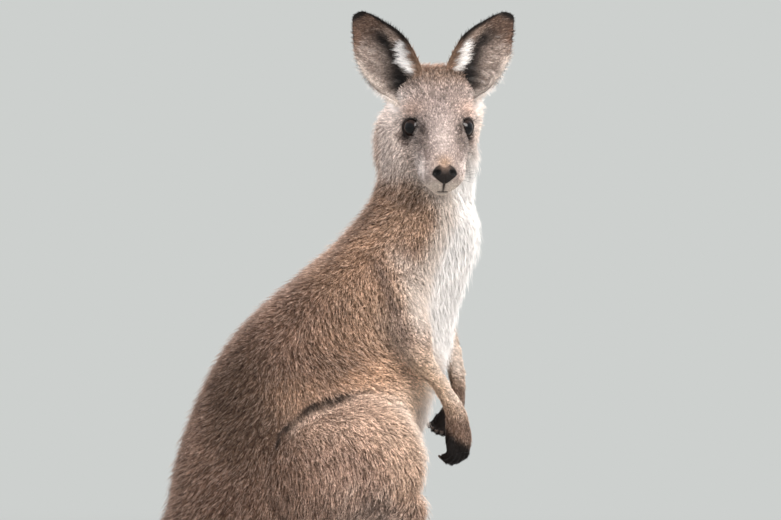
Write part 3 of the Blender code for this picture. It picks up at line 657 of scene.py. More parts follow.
# The fold above the thigh, x and z; along x: half width of the painted shade along it in mm, and how dark
# that painted shade is.
THIGH_CREASE = np.array([(-112, 262), (-108.6, 282.8), (-94.7, 294.7), (-78.5, 308.9), (-66.2, 315.1),
                         (-45.6, 321), (-27.4, 325.1), (-8, 330)], float)
CREASE_WIDTH = [-112, -98, -80, -60, -35, -12], [2.8, 3.4, 3.2, 5.6, 3, 1.4]
CREASE_SHADE = [-112, -100, -66, -45, -25], [.8, .95, .97, .97, .6]
# Patches on the face, seen level from in front: distance from the middle, height over the head's centre, the
# two radii, colour, strength.
FACE_PATCHES = [
    ((0, 20), (16, 28), tone(178, 160, 154), .6), ((0, -8), (11, 19), tone(204, 187, 179), .85),
    ((0, -31), (8, 7.5), tone(170, 138, 114), .9), ((34, 25), (13, 9), tone(226, 190, 172), .95),
    ((14, 33), (10, 10), SMOKE, .3), ((0, 63), (34, 18), tone(116, 92, 76), .95),
    ((20, 3), (6.5, 12), tone(56, 43, 38), 1), ((27, -12), (13, 7.5), tone(60, 46, 40), 1),
    ((29, -30), (12, 20), tone(84, 66, 59), .9), ((22.5, -38), (4.5, 12), tone(244, 228, 220), .85),
    ((9, -55), (12, 6), tone(222, 206, 192), .95), ((0, -66), (14, 6), tone(250, 230, 214), 1),
    ((42, -44), (9, 12), GREY, .3), ((50, -20), (15, 50), tone(236, 218, 207), 1),
    ((30, 16), (13, 3), UMBER, .4)]


def painted(colour, *layers):
    """The colour with each layer, a colour and its amount, mixed over it in turn."""
    for other, amount in layers:
        colour = mix(colour, other, amount)
    return colour


def along_skin(way, normals):
    """The part of a direction that lies in the surface, as a unit vector."""
    return unit(way - (way * normals).sum(1, keepdims=True) * normals)


def shaken(points, size, seed):
    """Three noises side by side, as a vector at each point."""
    return np.stack([noise(points, size, seed + k) for k in range(3)], 1)


def crease_marks(points):
    """The fold above the thigh: the painted shade along it, how near it a point is, and how far on the crest
    below it.
    """
    flat, x = points[:, [0, 2]], points[:, 0]
    a, b = THIGH_CREASE[:-1], THIGH_CREASE[1:]
    along = np.clip(((flat[:, None] - a) * (b - a)).sum(2) / ((b - a) ** 2).sum(1), 0, 1)
    aside = flat[:, None] - a - along[..., None] * (b - a)
    gap = np.linalg.norm(aside, axis=2)
    nearest = gap.argmin(1)
    gap = np.abs(gap.min(1) + 1.6 * noise(points, 8, 21))
    below = (np.take_along_axis(aside, nearest[:, None, None], 1)[:, 0] @ np.array([.35, -1])) > 0
    here = ease(40, 60, np.abs(points[:, 1])) * ease(0, -26, x)
    crease_shade = np.exp(-(gap / np.interp(x, *CREASE_WIDTH)) ** 4) * here
    near = np.exp(-(gap / 13) ** 2) * here * (1 - .7 * below)
    crest = np.exp(-((gap - 8) / 4) ** 2) * here * below * ease(-50, -70, x) * ease(-104, -92, x)
    return crease_shade, near, crest


def trunk_coat(points, at, side_tint, soft):
    """The trunk's, neck's and tail's part: dark back, white belly and chest, dark end of the tail."""
    z, bone, flat = points[:, 2], BONES["spine"], points[:, [0, 2]]
    s, h, up = at["s"], at["h"] / np.maximum(at["far"], 0.6), bone["up"][at["near"]]
    left = .35 * ease(0, 40, points[:, 1]) * ease(330, 380, z)
    edge = np.interp(z, *WHITE_FROM) + .07 * soft - left * (1 - 1.3 * ease(430, 480, z))
    neck = ease(.985, .94, s) * ease(0.12, 0.3, s)
    belly = ease(edge + .04, edge - .2, h) * neck
    tint = painted(side_tint, (BACK, ease(0.7, 1.0, h + 0.12 * soft) * 0.7),
                   (CREAM, ease(edge + .22 + .2 * ease(430, 480, z), edge, h) * neck), (WHITE, belly),
                   (GREY, ease(-0.3, -0.9, h) * ease(0.3, 0.2, s) * 0.6), (SOOT, ease(0.24, 0.02, s) * 0.95))
    way = -bone["along"][at["near"]] - 0.45 * up * (1 - np.abs(h))[:, None]
    chest, throat = hill(z[:, None], (420,), (24,)), hill(z[:, None], (520,), (28,))
    waist = hill(mirrored(points), (-10, 74, 352), (62, 60, 40))
    fluff = hill(flat, (34, 286), (26, 34)) * belly
    long, wide, rise, close, over = hair_of("spine", s)
    long = long + belly * (3 - 3.5 * chest - 4.5 * throat) + 2.5 * waist + 6 * fluff
    return tint, way, long, wide, rise - 0.2 * belly - .3 * waist + .3 * fluff, close, over + 5 * belly


def limb_coat(points, name, at, side_tint, soft):
    """A limb's part: pale on the inner side, the hand and the foot dark."""
    x, z, s = points[:, 0], points[:, 2], at["s"]
    kind, side = name.split("_")
    way, inward = BONES[name]["along"][at["near"]], -SIGN[side] * at["x"]
    if kind == "arm":
        wrist, thumb = WRISTS[side]
        hand = z + 4 * noise(points, 9, 2) + .75 * (x - thumb)
        tint = painted(side_tint, (tone(190, 166, 150), ease(.12, .3, s + .03 * soft)),
                       (tone(200, 172, 148), ease(.4, .55, s)),
                       (CREAM, ease(0.1, 0.8, inward) * 0.75 * ease(wrist + 10, wrist + 40, z)),
                       (CREAM, ease(-.15, .6, at["h"]) * (ease(.5, .25, s) * .9 + ease(.4, .6, s) * .45)),
                       (tone(88, 66, 55), ease(wrist + 44, wrist + 16, z + 5 * soft) * 0.9),
                       (BLACK, ease(wrist + 8, wrist - 5, hand)))
    elif kind == "thigh":
        tint = mix(side_tint, CREAM, (1 - ease(-0.4, 0.5, -inward)) * 0.8)
        slope = np.radians(np.clip(15 + .62 * (335 - z) + .12 * (x + 40), 5, 100))
        way = np.column_stack([np.cos(slope), 0 * x, -np.sin(slope)])
    elif kind == "shank":
        tint = painted(side_tint, (tone(152, 128, 112), ease(.1, .35, s)),
                       (tone(122, 99, 86), ease(.5, 1, s) * 0.8),
                       (CREAM, ease(0.2, 0.9, inward) * 0.5 * ease(1, .5, s)))
    else:
        tint = mix(np.tile(tone(132, 108, 94), (len(x), 1)), SOOT, ease(30, 85, x + 6 * soft) * 0.9)
        way = way * ease(.05, .2, s)[:, None] - [0, 0, 0.35]
    return tint, way, *hair_of(kind, s)


def hair_of(kind, s):
    """Length, width, lift, tufts and guard hairs at the given places along a bone of this kind."""
    return [np.interp(s, *row) for row in HAIR[kind]]


def body_coat(points, normals, part):
    """Markings, lie and length of the coat at each point of a surface of the body: the mean of what each bone
    says, weighted by its share in the point. Returns a dict of arrays."""
    lie = place(points)
    weight = spread(lie, BONES_OF[part])
    count = len(points)
    x, y, z = points[:, 0], np.abs(points[:, 1]), points[:, 2]
    soft = noise(points, 26, 1)
    flat = np.column_stack([x, z])
    marks = np.stack([hill(flat + 6 * soft[:, None], (a, b), (c, d)) for a, b, c, d, _ in SIDE_PATCHES], 1)
    side_tint = marks @ np.array([patch[4] for patch in SIDE_PATCHES]) + .04 * SADDLE
    side_tint = side_tint / (marks.sum(1, keepdims=True) + .04)
    coat = {"colour": np.zeros((count, 3)), "flow": np.zeros((count, 3)), "length": 0, "width": 0, "lift": 0,
            "dense": 0, "guard": 0}

    def add(name, values):
        for key, value in zip(coat, values):
            coat[key] = coat[key] + value * (weight[name] if value.ndim == 1 else weight[name][:, None])
    if part == "body":
        add("spine", trunk_coat(points, lie["spine"], side_tint, soft))
    for name in [kind + side for side in SIGN for kind in ("arm_", "thigh_", "shank_", "foot_")]:
        if name in weight:
            add(name, limb_coat(points, name, lie[name], side_tint, soft))
    bare, gloss, sole = np.zeros(count), np.zeros(count), ease(3.5, 0.8, z)
    sole_hairs, on_foot = 0.65, part.startswith("foot")
    if on_foot:
        sole, sole_hairs = ease(5, 1.5, z), 0
        coat["length"] = coat["length"] * np.interp(x, [-60, 70, 110], [1.1, 1, .7])
        coat["colour"] = mix(coat["colour"], tone(74, 60, 54), sole)
    if part == "body":
        for u, v, wide, high, ahead, down, strength in SIDE_LIES:
            pull = hill(flat, (u, v), (wide, high)) * strength * (1 - weight["head"])
            coat["flow"] = coat["flow"] + pull[:, None] * [ahead, 0, down]
        crease_shade, near, crest = crease_marks(points)
        coat["length"] = coat["length"] * (1 - (.5 + .25 * ease(-66, -80, x)) * near)
        coat["lift"] = coat["lift"] * (1 - .4 * near)
        # Painted shade: a darker line down the trunk just behind the upper arm, where arm and trunk meet.
        fold = np.interp(z, [374, 394, 420, 446, 467], [25, 17, 8, -2, -9])
        fold = np.exp(-((x - fold) / 7) ** 2) * ease(368, 385, z) * ease(480, 455, z) * ease(30, 45, y)
        stripes = noise(np.column_stack([(x + z) * .22, x - z, .3 * y]), 5, 41)
        by_knee = hill(flat, (-12, 212), (44, 26)) * ease(30, 50, y)
        # Painted shade along the fold above the thigh; the crest below it a little cream.
        coat["colour"] = painted(coat["colour"], (tone(34, 25, 21), crease_shade * np.interp(x, *CREASE_SHADE)),
                                 (CREAM, crest * .2), (tone(92, 76, 70), fold * .75),
                                 (tone(70, 58, 52), ease(.1, .6, stripes) * by_knee * .75),
                                 (CREAM, ease(.15, .7, -stripes) * by_knee * .45))
        add("head", head_coat(points, normals))
        coat["colour"], bare, gloss = bare_face(in_head(points), coat["colour"])
    light = coat["colour"].mean(1)
    warm = (1 - ease(.3, .6, light)) * ease(.02, .08, light) * (1 - weight.get("head", 0 * x))
    coat["colour"] = coat["colour"] * (1 + warm[:, None] * WARMER)
    coat["flow"] = along_skin(coat["flow"] + 0.12 * shaken(points, 22, 5), normals)
    coat["dense"] = coat["dense"] * (1 - sole * (1 - sole_hairs)) * (1 - bare)
    coat["guard"] = coat["guard"] * (1 - bare)
    coat.update(gloss=gloss, bare=np.maximum(bare, sole * on_foot), uv=unwrap(points, lie, weight))
    return coat


def bare_face(q, colour):
    """Lids, nose pad and lips over the colour of the head: the colour, how bare a point is, and its gloss."""
    angle, edge, far, rise = eye_angles(q)
    near_eye = far < 20
    by_lids = ease(17, 14, far)
    over = (angle - edge) * (1 + .7 * ease(-2, 3, rise))
    lids = np.where(near_eye, ease(4.5, 2, over) * by_lids, 0)
    inside, nostril, down = nose_shape(q)
    across, jaw = np.abs(q[:, 1]), mouth_line(q)
    pad = ease(-0.6, 0.6, inside) * (q[:, 0] > 50)
    shine = hill(np.column_stack([across, down]), (0, -7), (5.5, 4.5))
    leather = painted(np.tile(tone(26, 20, 18), (len(q), 1)), (tone(92, 72, 60), shine),
                      (tone(8, 6, 6), ease(-.25, .15, nostril)))
    lips = np.exp(-(jaw / 2.0) ** 2) * ease(50, 60, q[:, 0]) * ease(6.8, 4.8, across) * (far > 20)
    lips = np.maximum(lips, np.exp(-(across / 1.2) ** 2) * (q[:, 0] > 56) * ease(-1, 0, jaw) * (down > 9))
    # Painted shade below the eye, under its lower lid.
    shade_under_eye = np.where(near_eye, ease(20, 6, over) * ease(5, -2, rise), 0)
    rims = np.where(near_eye, ease(9, 4, over) * by_lids, 0)
    colour = painted(colour, (tone(84, 66, 61), shade_under_eye * 0.65), (tone(16, 11, 10), rims * 0.95),
                     (leather, pad), (tone(20, 14, 12), lips * 0.95))
    return colour, np.maximum.reduce([lids, pad, lips * 0.9]), np.maximum(pad, lips * 0.6)


def head_coat(points, normals):
    """The head's part of the markings and the lie: back from the nose, down over the cheeks."""
    q = in_head(points)
    f, r, u = mirrored(q).T
    height = -math.sin(HEAD_NOD) * f + math.cos(HEAD_NOD) * u
    facing = normals @ AHEAD
    front = ease(-0.25, 0.25, facing)
    seen = np.column_stack([r, height])
    tint = mix(np.tile(tone(176, 158, 150), (len(q), 1)), tone(142, 117, 101),
               ease(-35, -62, f) + ease(18, 40, u) * ease(-15, -40, f))
    shown = np.maximum(front, ease(30, 60, height))
    for centre, radii, patch, strength in FACE_PATCHES:
        tint = mix(tint, patch, hill(seen, centre, radii) * strength * shown)
    vee = np.exp(-((height - 34 - 0.8 * r) / 2.2) ** 2) * ease(9, 3, r)
    jaw, down = mouth_line(q), nose_shape(q)[2]
    lips = np.exp(-(jaw / 2.1) ** 2) * ease(8.5, 5, r)
    lips = lips + np.exp(-(r / 1.3) ** 2) * ease(9, 11, down) * ease(-1, 1, jaw)
    beside_ear = ease(30, 44, r) * ease(-56, -42, f) * ease(26, 8, u) * ease(16, -8, f)
    mottle = noise(points, 3.2, 31)
    side_of_nose = hill(seen, (25, -34), (12, 18)) * front
    tint = painted(tint, (SOOT, vee * 0.55 * front), (BLACK, np.minimum(lips, 1) * ease(46, 56, f) * .95),
                   (WHITE, hill(mirrored(q), EAR_FOOT, (13, 12, 13)) * .9),
                   (tone(226, 208, 198), beside_ear * .95),
                   # Cream on the left cheek only: painted light on the side the light falls on.
                   (CREAM, ease(-28, -38, q[:, 1]) * ease(14, -8, f) * ease(20, 4, u) * .8))
    tint = painted(tint * (1 + .13 * mottle)[:, None], (CREAM, ease(.15, .7, mottle) * side_of_nose * .55),
                   (UMBER, ease(0, .5, -mottle) * side_of_nose * .85),
                   (tone(238, 220, 205), ease(-20, -32, u) * ease(-60, -30, f) * 0.9 * ease(36, 26, r)),
                   (SADDLE, ease(0, -.45, facing) * .95))
    sideways = 0.35 * np.sign(q[:, 1]) * ease(-5, 20, f) * ease(20, 0, u)
    way = np.column_stack([-np.ones(len(q)), sideways, -0.5 * ease(12, 30, r)]) @ HEAD_AXES
    cheek = ease(-6, -30, f) * ease(28, 42, r) * ease(34, 20, u)
    long, wide, rise, close, over = hair_of("head", f)
    long = long + 3.5 * cheek + 3 * hill(mirrored(q), EAR_FOOT, (12, 12, 12))
    return tint, way, long, wide, rise + 0.25 * cheek, close, over + 8 * cheek


def ear_coat(points, normals, facts):
    """Markings and hair of an ear: dark rim and tip, painted shade in the hollow, pale hairs from both edges
    into it.
    """
    s, c, front = facts["s"], facts["c"], facts["front"]
    count = len(s)

    def patch(centre, radii):
        return hill(np.column_stack([s, c]), centre, radii)

    def fading(near, far, start, stop):
        """From one colour to another along the ear."""
        return mix(np.tile(near, (count, 1)), far, ease(start, stop, s))
    streak = noise(np.column_stack([s * 60, c * 14, 0 * s]), 1.6, 8) * .5 + noise(points, 4, 9) * .5
    hollow = mix(np.tile(tone(142, 125, 115), (count, 1)), tone(92, 71, 59), ease(.5, .8, s + .1 * streak))
    # Painted shade down the middle of the cupped hollow.
    hollow_shade = np.exp(-((c - np.interp(s, [0, .2, .5, .75], [-.02, -.1, -.26, -.2]))
                      / np.interp(s, [.2, .5, .8], [.38, .31, .34])) ** 2)
    tuft = np.exp(-((c - np.interp(s, [.12, .28, .42, .55], [-.62, -.5, -.6, -.74]))
                    / np.interp(s, [.08, .26, .42, .55], [.14, .3, .2, .1])) ** 2)
    tuft = tuft * ease(.05, .16, s) * ease(.57, .4, s)
    fold = np.interp(s, [.05, .3, .5], [-.4, -.68, -.78])
    outer_half = ease(.0, .5, c) * ease(.8, .55, s)
    hollow = painted(
        hollow, (tone(16, 10, 8), hollow_shade * ease(.85, .6, s) * (1 + .2 * streak)),
        # Near black at the foot of the hollow: painted shade.
        (tone(12, 8, 7), patch((.12, .02), (.14, .42)) * 1.1),
        (tone(150, 128, 114), ease(.2, .7, patch((.6, -.66), (.14, .2)) + .15 * streak) * .6),
        (WHITE, ease(.2, .7, tuft + .45 * streak)),
        (fading(tone(146, 116, 96), tone(112, 84, 68), .15, .45),
         ease(fold, fold - .12, c + .1 * streak) * ease(.75, .6, s)),
        (tone(152, 134, 124), patch((.34, .7), (.26, .3)) * .7),
        (tone(112, 80, 62), patch((.72, .8), (.14, .3)) * .7),
        (CREAM, ease(.1, .6, streak) * outer_half * .55),
        (tone(120, 104, 96), ease(.1, .6, -streak) * outer_half * .4),
        (CREAM, ease(.5, .95, c + .2 * streak) * ease(.62, .4, s) * .75))
    outside = fading(tone(140, 114, 98), tone(92, 70, 60), .5, 1)
    outside = mix(outside, WHITE, ease(.4, .85, c) * ease(.6, .4, s))
    rim = np.maximum(ease(-.72, -.9, c) * ease(.3, .5, s), ease(.86, .97, c) * ease(.62, .78, s))
    colour = painted(np.where(front[:, None] > 0.5, hollow, outside),
                     (tone(10, 6, 5), np.maximum(rim, ease(.89, .96, s)) * .97),
                     (CREAM, ease(.1, -.02, s) * ease(.2, .6, c) * 0.9))
    rise = np.where(c < 0, 0.75, 0.35) - 0.8 * ease(0, .8, c) * ease(.5, .2, s)
    inward = np.where(c < -.86, -.6, .65)[:, None]
    fringe = ease(.7, 1, c) * ease(.7, .45, s)
    flare = (ease(.5, .9, c) * ease(.7, .45, s))[:, None]
    way = np.where(front[:, None] > 0.5, facts["along"] * rise[:, None] + facts["across"] * inward,
                   facts["along"] * (1 - 1.25 * flare) + facts["across"] * (.25 * c[:, None] + flare))
    way = unit(way + 0.1 * shaken(points, 9, 5))
    inside = 1.6 + 4.5 * patch((.28, -.6), (.2, .3)) + 3 * patch((.36, .6), (.3, .4))
    long = 3.4 + front * inside + 2.5 * fringe
    left = .02 + .2 * (c + 1) / 2 + .24 * (1 - front) + .49 * (facts["across"] @ HEAD_R > 0)
    return {"colour": colour, "flow": along_skin(way, normals), "length": long * (1 - 0.45 * ease(.75, 1, s)),
            "width": .6 - .2 * fringe, "lift": 0.3 + 0.14 * front + 0.14 * fringe, "dense": 90 + 80 * fringe,
            "guard": 16 * fringe + front * 20 * patch((.28, -.75), (.22, .3)), "gloss": np.zeros(count),
            "bare": np.zeros(count), "uv": np.column_stack([left, .76 + .22 * s])}


# Where each bone's unrolled skin lies on the unit square: left, bottom, width, height.
SHEETS = {"spine": (.01, .01, .62, .36), "head": (.65, .01, .34, .36), "arm_right": (.01, .39, .23, .11),
          "arm_left": (.01, .51, .23, .11)}
for limb_name, from_left, across_it in (("thigh_", .26, .2), ("shank_", .48, .2), ("foot_", .7, .28)):
    SHEETS[limb_name + "right"] = (from_left, .39, across_it, .17)
    SHEETS[limb_name + "left"] = (from_left, .57, across_it, .17)


def unwrap(points, lie, weight):
    """Unrolls the skin: along the nearest bone and round it, each bone in its own rectangle."""
    best = np.argmax(list(weight.values()), axis=0)
    uv = np.zeros((len(points), 2))
    for k, name in enumerate(weight):
        left, bottom, wide, high = SHEETS[name]
        round_it = np.arctan2(lie[name]["x"], lie[name]["h"]) / (2 * math.pi) + .5
        here = np.column_stack([left + wide * lie[name]["s"], bottom + high * round_it])
        uv = np.where((best == k)[:, None], here, uv)
    return uv


def scattered(points, tris, dense):
    """Roots of tufts over a surface, as many on each triangle as its area and the tufts per cm2 ask. Returns
    a function that reads any values given per point at those roots."""
    corner = points[tris]
    area = np.linalg.norm(np.cross(corner[:, 1] - corner[:, 0], corner[:, 2] - corner[:, 0]), axis=1) / 2
    ladder = np.concatenate([[0], np.cumsum(area * dense[tris].mean(1) / 100)])
    count = int(ladder[-1])
    if count == 0:
        return lambda values: values[:0]
    steps = (np.arange(count) + rng.random(count)) / count * ladder[-1]
    tri = np.searchsorted(ladder, steps, side="right") - 1
    a, b = rng.random((2, count))
    a, b = np.where(a + b > 1, 1 - a, a), np.where(a + b > 1, 1 - b, b)
    share = np.stack([1 - a - b, a, b], 1)
    return lambda values: (values[tris[tri]] * (share[..., None] if values.ndim == 2 else share)).sum(1)


# Guard hairs are longer and finer than the fur; clumps and broad patches differ in tone by these shares.
GUARD_LONGER, GUARD_FINER, CLUMP_TINT, BROAD_TINT = 1.4, 0.65, 0.34, 0.12
MOST_FUR, MOST_GUARD = 47500, 19000        # most tufts of a piece
CLUMP = {"body": 3.2, "ear": 2.4}          # mm across a clump
ISLAND = 0.003                             # size of a tuft's island on the UV map
# Corners of a bent tuft's island: the base, the middle and the point.
TUFT_UV = np.array([(-.5, -.5), (.5, -.5), (0, -.4), (-.4, .1), (.4, .1), (0, .15), (0, .5)])


def spikes(root, normal, lie, length, width, lift, bent, sway=0.0, shade_up=None):
    """Closed three-sided tufts: a base under the skin, for the bent ones a middle, and a point; they rise by
    the lift and lie down again towards the tip. Returns points, triangles, share of the length and corner
    number per point, and the shading normals."""
    count = len(root)
    side = unit(np.cross(normal, lie))
    steep, flat = (lift * (1.3 if bent else 0.9))[:, None], (lift * 0.45)[:, None]
    first = lie * np.cos(steep) + normal * np.sin(steep)
    second = unit(lie * np.cos(flat) + normal * np.sin(flat) + side * np.broadcast_to(sway, count)[:, None])
    long, wide = length[:, None], width[:, None]
    base = root - first * long * 0.05 - normal * 0.35
    ring = np.stack([-side * 0.5, side * 0.5, normal * 0.42], 1)
    shade_up = normal if shade_up is None else shade_up
    corners, tip = unit(ring * 0.8 + shade_up[:, None] * 0.8), unit(shade_up + lie * 0.2)[:, None]
    if bent:
        middle = base + first * long * 0.52
        levels = [base[:, None] + ring * wide[:, None] * 0.9, middle[:, None] + ring * wide[:, None] * 0.85,
                  (middle + second * long * 0.53)[:, None]]
        share = np.array([0, 0, 0, .5, .5, .5, 1])
        one = [(0, 2, 1), (0, 1, 4), (0, 4, 3), (1, 2, 5), (1, 5, 4), (2, 0, 3), (2, 3, 5), (3, 4, 6),
               (4, 5, 6), (5, 3, 6)]
        shade = np.concatenate([corners, corners, tip], 1)
    else:
        levels = [base[:, None] + ring * wide[:, None], (base + first * long)[:, None]]
        share = np.array([0, 0, 0, 1])
        one = [(0, 2, 1), (0, 1, 3), (1, 2, 3), (2, 0, 3)]
        shade = np.concatenate([corners, tip], 1)
    points = np.concatenate(levels, 1)
    each = points.shape[1]
    faces = (np.array(one)[None] + (np.arange(count) * each)[:, None, None]).reshape(-1, 3)
    share, corner = np.tile(share, count), np.tile(np.arange(each), count)
    return points.reshape(-1, 3), faces, share, corner, shade.reshape(-1, 3)


def quick_mesh(name, points, tris):
    """Smooth-shaded mesh of triangles from whole arrays; points in mm of body coordinates."""
    mesh = bpy.data.meshes.new(name)
    mesh.vertices.add(len(points))
    mesh.vertices.foreach_set("co", ((points + SHIFT) * MM).astype(np.float32).ravel())
    mesh.loops.add(len(tris) * 3)
    mesh.loops.foreach_set("vertex_index", tris.astype(np.int32).ravel())
    mesh.polygons.add(len(tris))
    mesh.polygons.foreach_set("loop_start", np.arange(0, len(tris) * 3, 3, dtype=np.int32))
    mesh.polygons.foreach_set("use_smooth", np.full(len(tris), True))
    mesh.update(calc_edges=True)
    return mesh


def attribute(mesh, name, values):
    """Float or colour per vertex."""
    values = np.asarray(values, np.float32)
    if values.ndim == 1:
        mesh.attributes.new(name, "FLOAT", "POINT").data.foreach_set("value", values)
    else:
        rgba = np.ones((len(values), 4), np.float32)
        rgba[:, :values.shape[1]] = values
        mesh.attributes.new(name, "FLOAT_COLOR", "POINT").data.foreach_set("color", rgba.ravel())


def in_scene(name, data):
    """A new object in the scene's collection."""
    made = bpy.data.objects.new(name, data)
    bpy.context.scene.collection.objects.link(made)
    return made


def placed(name, mesh, material, nodes=()):
    """Puts a finished mesh in the scene: it rides on the one body and stands for the named CAD nodes."""
    mesh.materials.append(material)
    piece = in_scene(name, mesh)
    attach(piece, "root")
    if nodes:
        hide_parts(*nodes)


def gathered(root, normal, lie, length, size, pull):
    """Turns each tuft towards the middle line of its clump, the tufts of one cell of a shaken lattice. Gives
    the new lie, how far the tuft stands to the side of that line in cells, and the clump's number."""
    cell = np.floor((root + 0.5 * size * shaken(root, size * 0.9, 31)) / size).astype(np.int64)
    _, clump = np.unique(cell @ np.array([73856093, 19349663, 83492791]), return_inverse=True)
    clump = clump.ravel()
    count = np.bincount(clump)
    middle = np.stack([np.bincount(clump, root[:, k]) / count for k in range(3)], 1)
    off = middle[clump] - root
    off = off - (off * normal).sum(1, keepdims=True) * normal
    aside = off - (off * lie).sum(1, keepdims=True) * lie
    return unit(lie + aside * (pull * np.minimum(1, length / 10) / length)[:, None]), -off / size, clump


def turned(lie, normal, turn):
    """The lie turned about the normal by an angle in radians."""
    return unit(lie * np.cos(turn) + np.cross(normal, lie) * np.sin(turn))


def tufted(name, take, fields, bent, material, surface_normals, size, pull=0.6):
    """Coat over one surface, in pieces small enough for the files they become. The tufts lean together in
    clumps; chance numbers, partly each clump's own, tint them."""
    root, normal, lie = take(fields["points"]), unit(take(surface_normals)), take(fields["flow"])
    lie = along_skin(lie, normal)
    length, width, lift, colour, uv = (take(fields[k]) for k in ("length", "width", "lift", "colour", "uv"))
    count = len(root)
    if count == 0:
        return
    chance = rng.random((count, 4))
    patchy = noise(root, 7, 11)
    lie = turned(lie, normal, (0.18 * noise(root, 9, 12) + 0.2 * (chance[:, 0] * 2 - 1))[:, None])
    lie, aside, clump = gathered(root, normal, lie, length, size, pull * (0.6 if bent else 1))
    own = rng.random((clump.max() + 1, 4))[clump]
    lie = turned(lie, normal, 0.3 * (own[:, 3:] * 2 - 1))
    length = length * (0.76 + 0.32 * chance[:, 1] + 0.2 * own[:, 0]) * (1 + 0.1 * patchy)
    length = length * (GUARD_LONGER if bent else 1)
    width = width * (.75 + .5 * chance[:, 3]) * (GUARD_FINER if bent else 1)
    lift = lift * (0.65 + 0.3 * chance[:, 2] + 0.5 * own[:, 1]) * (1.2 if bent else 1) + 0.06 * patchy
    shade_up = unit(normal + 0.75 * aside)
    pick = 0.75 * chance[:, 1] + 0.25 * own[:, 2]
    pick = np.clip(0.5 + (pick - 0.5) * 1.2, 0, 1)
    even = ease(.42, .8, colour.mean(1))
    uneven = CLUMP_TINT * (own[:, 2] * 2 - 1) + BROAD_TINT * noise(root, 24, 13)
    colour = colour * (1 + (1 - .7 * even) * uneven)[:, None]
    step = MOST_GUARD if bent else MOST_FUR
    for part, start in enumerate(range(0, count, step)):
        k = slice(start, start + step)
        sway = 0.25 * (chance[k, 0] * 2 - 1)
        points, tris, share, corner, shade = spikes(root[k], normal[k], lie[k], length[k], width[k], lift[k],
                                                    bent, sway, shade_up[k])
        points[:, 2] = np.maximum(points[:, 2], COAT_OVER_FLOOR)
        mesh = quick_mesh(f"{name}_{part + 1}", points, tris)
        island = TUFT_UV if bent else TUFT_UV[[0, 1, 2, 6]]
        each = len(island)
        tint, chosen, evenness, spot = (np.repeat(values[k], each, 0) for values in (colour, pick, even, uv))
        attribute(mesh, "coat_colour", tint)
        attribute(mesh, "strand", np.column_stack([share, chosen, evenness]))
        place_uv = (spot + ISLAND * island[corner])[tris.ravel()]
        mesh.uv_layers.new(name="OFBake").data.foreach_set("uv", place_uv.astype(np.float32).ravel())
        mesh.normals_split_custom_set_from_vertices(shade)
        placed(mesh.name, mesh, material)


# Materials.

def new_material(name):
    """A material with its node tree and its shader."""
    material = bpy.data.materials.new(name)
    material.use_nodes = True
    return material, material.node_tree, material.node_tree.nodes["Principled BSDF"]


def fill(made, inputs):
    """Sets a node's inputs, by name or number: a socket is linked, anything else is the value."""
    for key, value in inputs.items():
        if isinstance(value, bpy.types.NodeSocket):
            made.id_data.links.new(value, made.inputs[key])
        else:
            made.inputs[key].default_value = value
    return made


def node(tree, kind, inputs=None, **settings):
    """A new shader node of the tree with its settings and inputs."""
    made = tree.nodes.new("ShaderNode" + kind)
    for key, value in settings.items():
        setattr(made, key, value)
    return fill(made, inputs or {})


def maths(tree, operation, *values):
    return node(tree, "Math", dict(enumerate(values)), operation=operation).outputs[0]


def mapped(tree, value, low, high, start=0.0, stop=1.0, **settings):
    """The value, start to stop, carried to low to high and held there."""
    limits = {"Value": value, "From Min": start, "From Max": stop, "To Min": low, "To Max": high}
    return node(tree, "MapRange", limits, **settings).outputs[0]


def blend(tree, factor, a, b):
    """Colour between two colours."""
    return node(tree, "Mix", {"Factor": factor, "A": a, "B": b}, data_type="RGBA").outputs["Result"]


def streaks(tree, place_at, scale, detail):
    return node(tree, "TexNoise", {"Vector": place_at, "Scale": scale, "Detail": detail}).outputs["Fac"]


def scaled(tree, colour, amount):
    """A colour times a number."""
    return node(tree, "VectorMath", {0: colour, "Scale": amount}, operation="SCALE").outputs[0]


def object_place(tree):
    """Object coordinates."""
    return node(tree, "TexCoord").outputs["Object"]


def solid(*rgb):
    """Opaque colour of an 8-bit screen colour."""
    return (*tone(*rgb), 1)


def group(name, inputs, outputs):
    """An empty node group with named inputs and outputs: its tree, its given sockets, its output node."""
    tree = bpy.data.node_groups.new(name, "ShaderNodeTree")
    for label, kind, value in inputs:
        socket = tree.interface.new_socket(label, in_out="INPUT", socket_type="NodeSocket" + kind)
        socket.default_value = value
    for label, kind in outputs:
        tree.interface.new_socket(label, in_out="OUTPUT", socket_type="NodeSocket" + kind)
    return tree, tree.nodes.new("NodeGroupInput").outputs, tree.nodes.new("NodeGroupOutput")


def blotch_group():
    """Two sizes of soft noise that lighten and darken a colour by the given shares."""
    tree, given, made = group("blotches", [("Colour", "Color", (.5, .5, .5, 1)), ("Broad", "Float", 0.1),
                                           ("Fine", "Float", 0.1), ("Broad scale", "Float", 30.0),
                                           ("Fine scale", "Float", 300.0)],
                              [("Colour", "Color"), ("Grain", "Float")])
    total, place_at = 1.0, object_place(tree)
    for size in ("Broad", "Fine"):
        grain = streaks(tree, place_at, given[size + " scale"], 2.0)
        twice = maths(tree, "MULTIPLY", maths(tree, "SUBTRACT", grain, 0.5), 4.0)
        total = maths(tree, "MULTIPLY_ADD", twice, given[size], total)
    fill(made, {"Colour": scaled(tree, given["Colour"], total), "Grain": grain})
    return tree


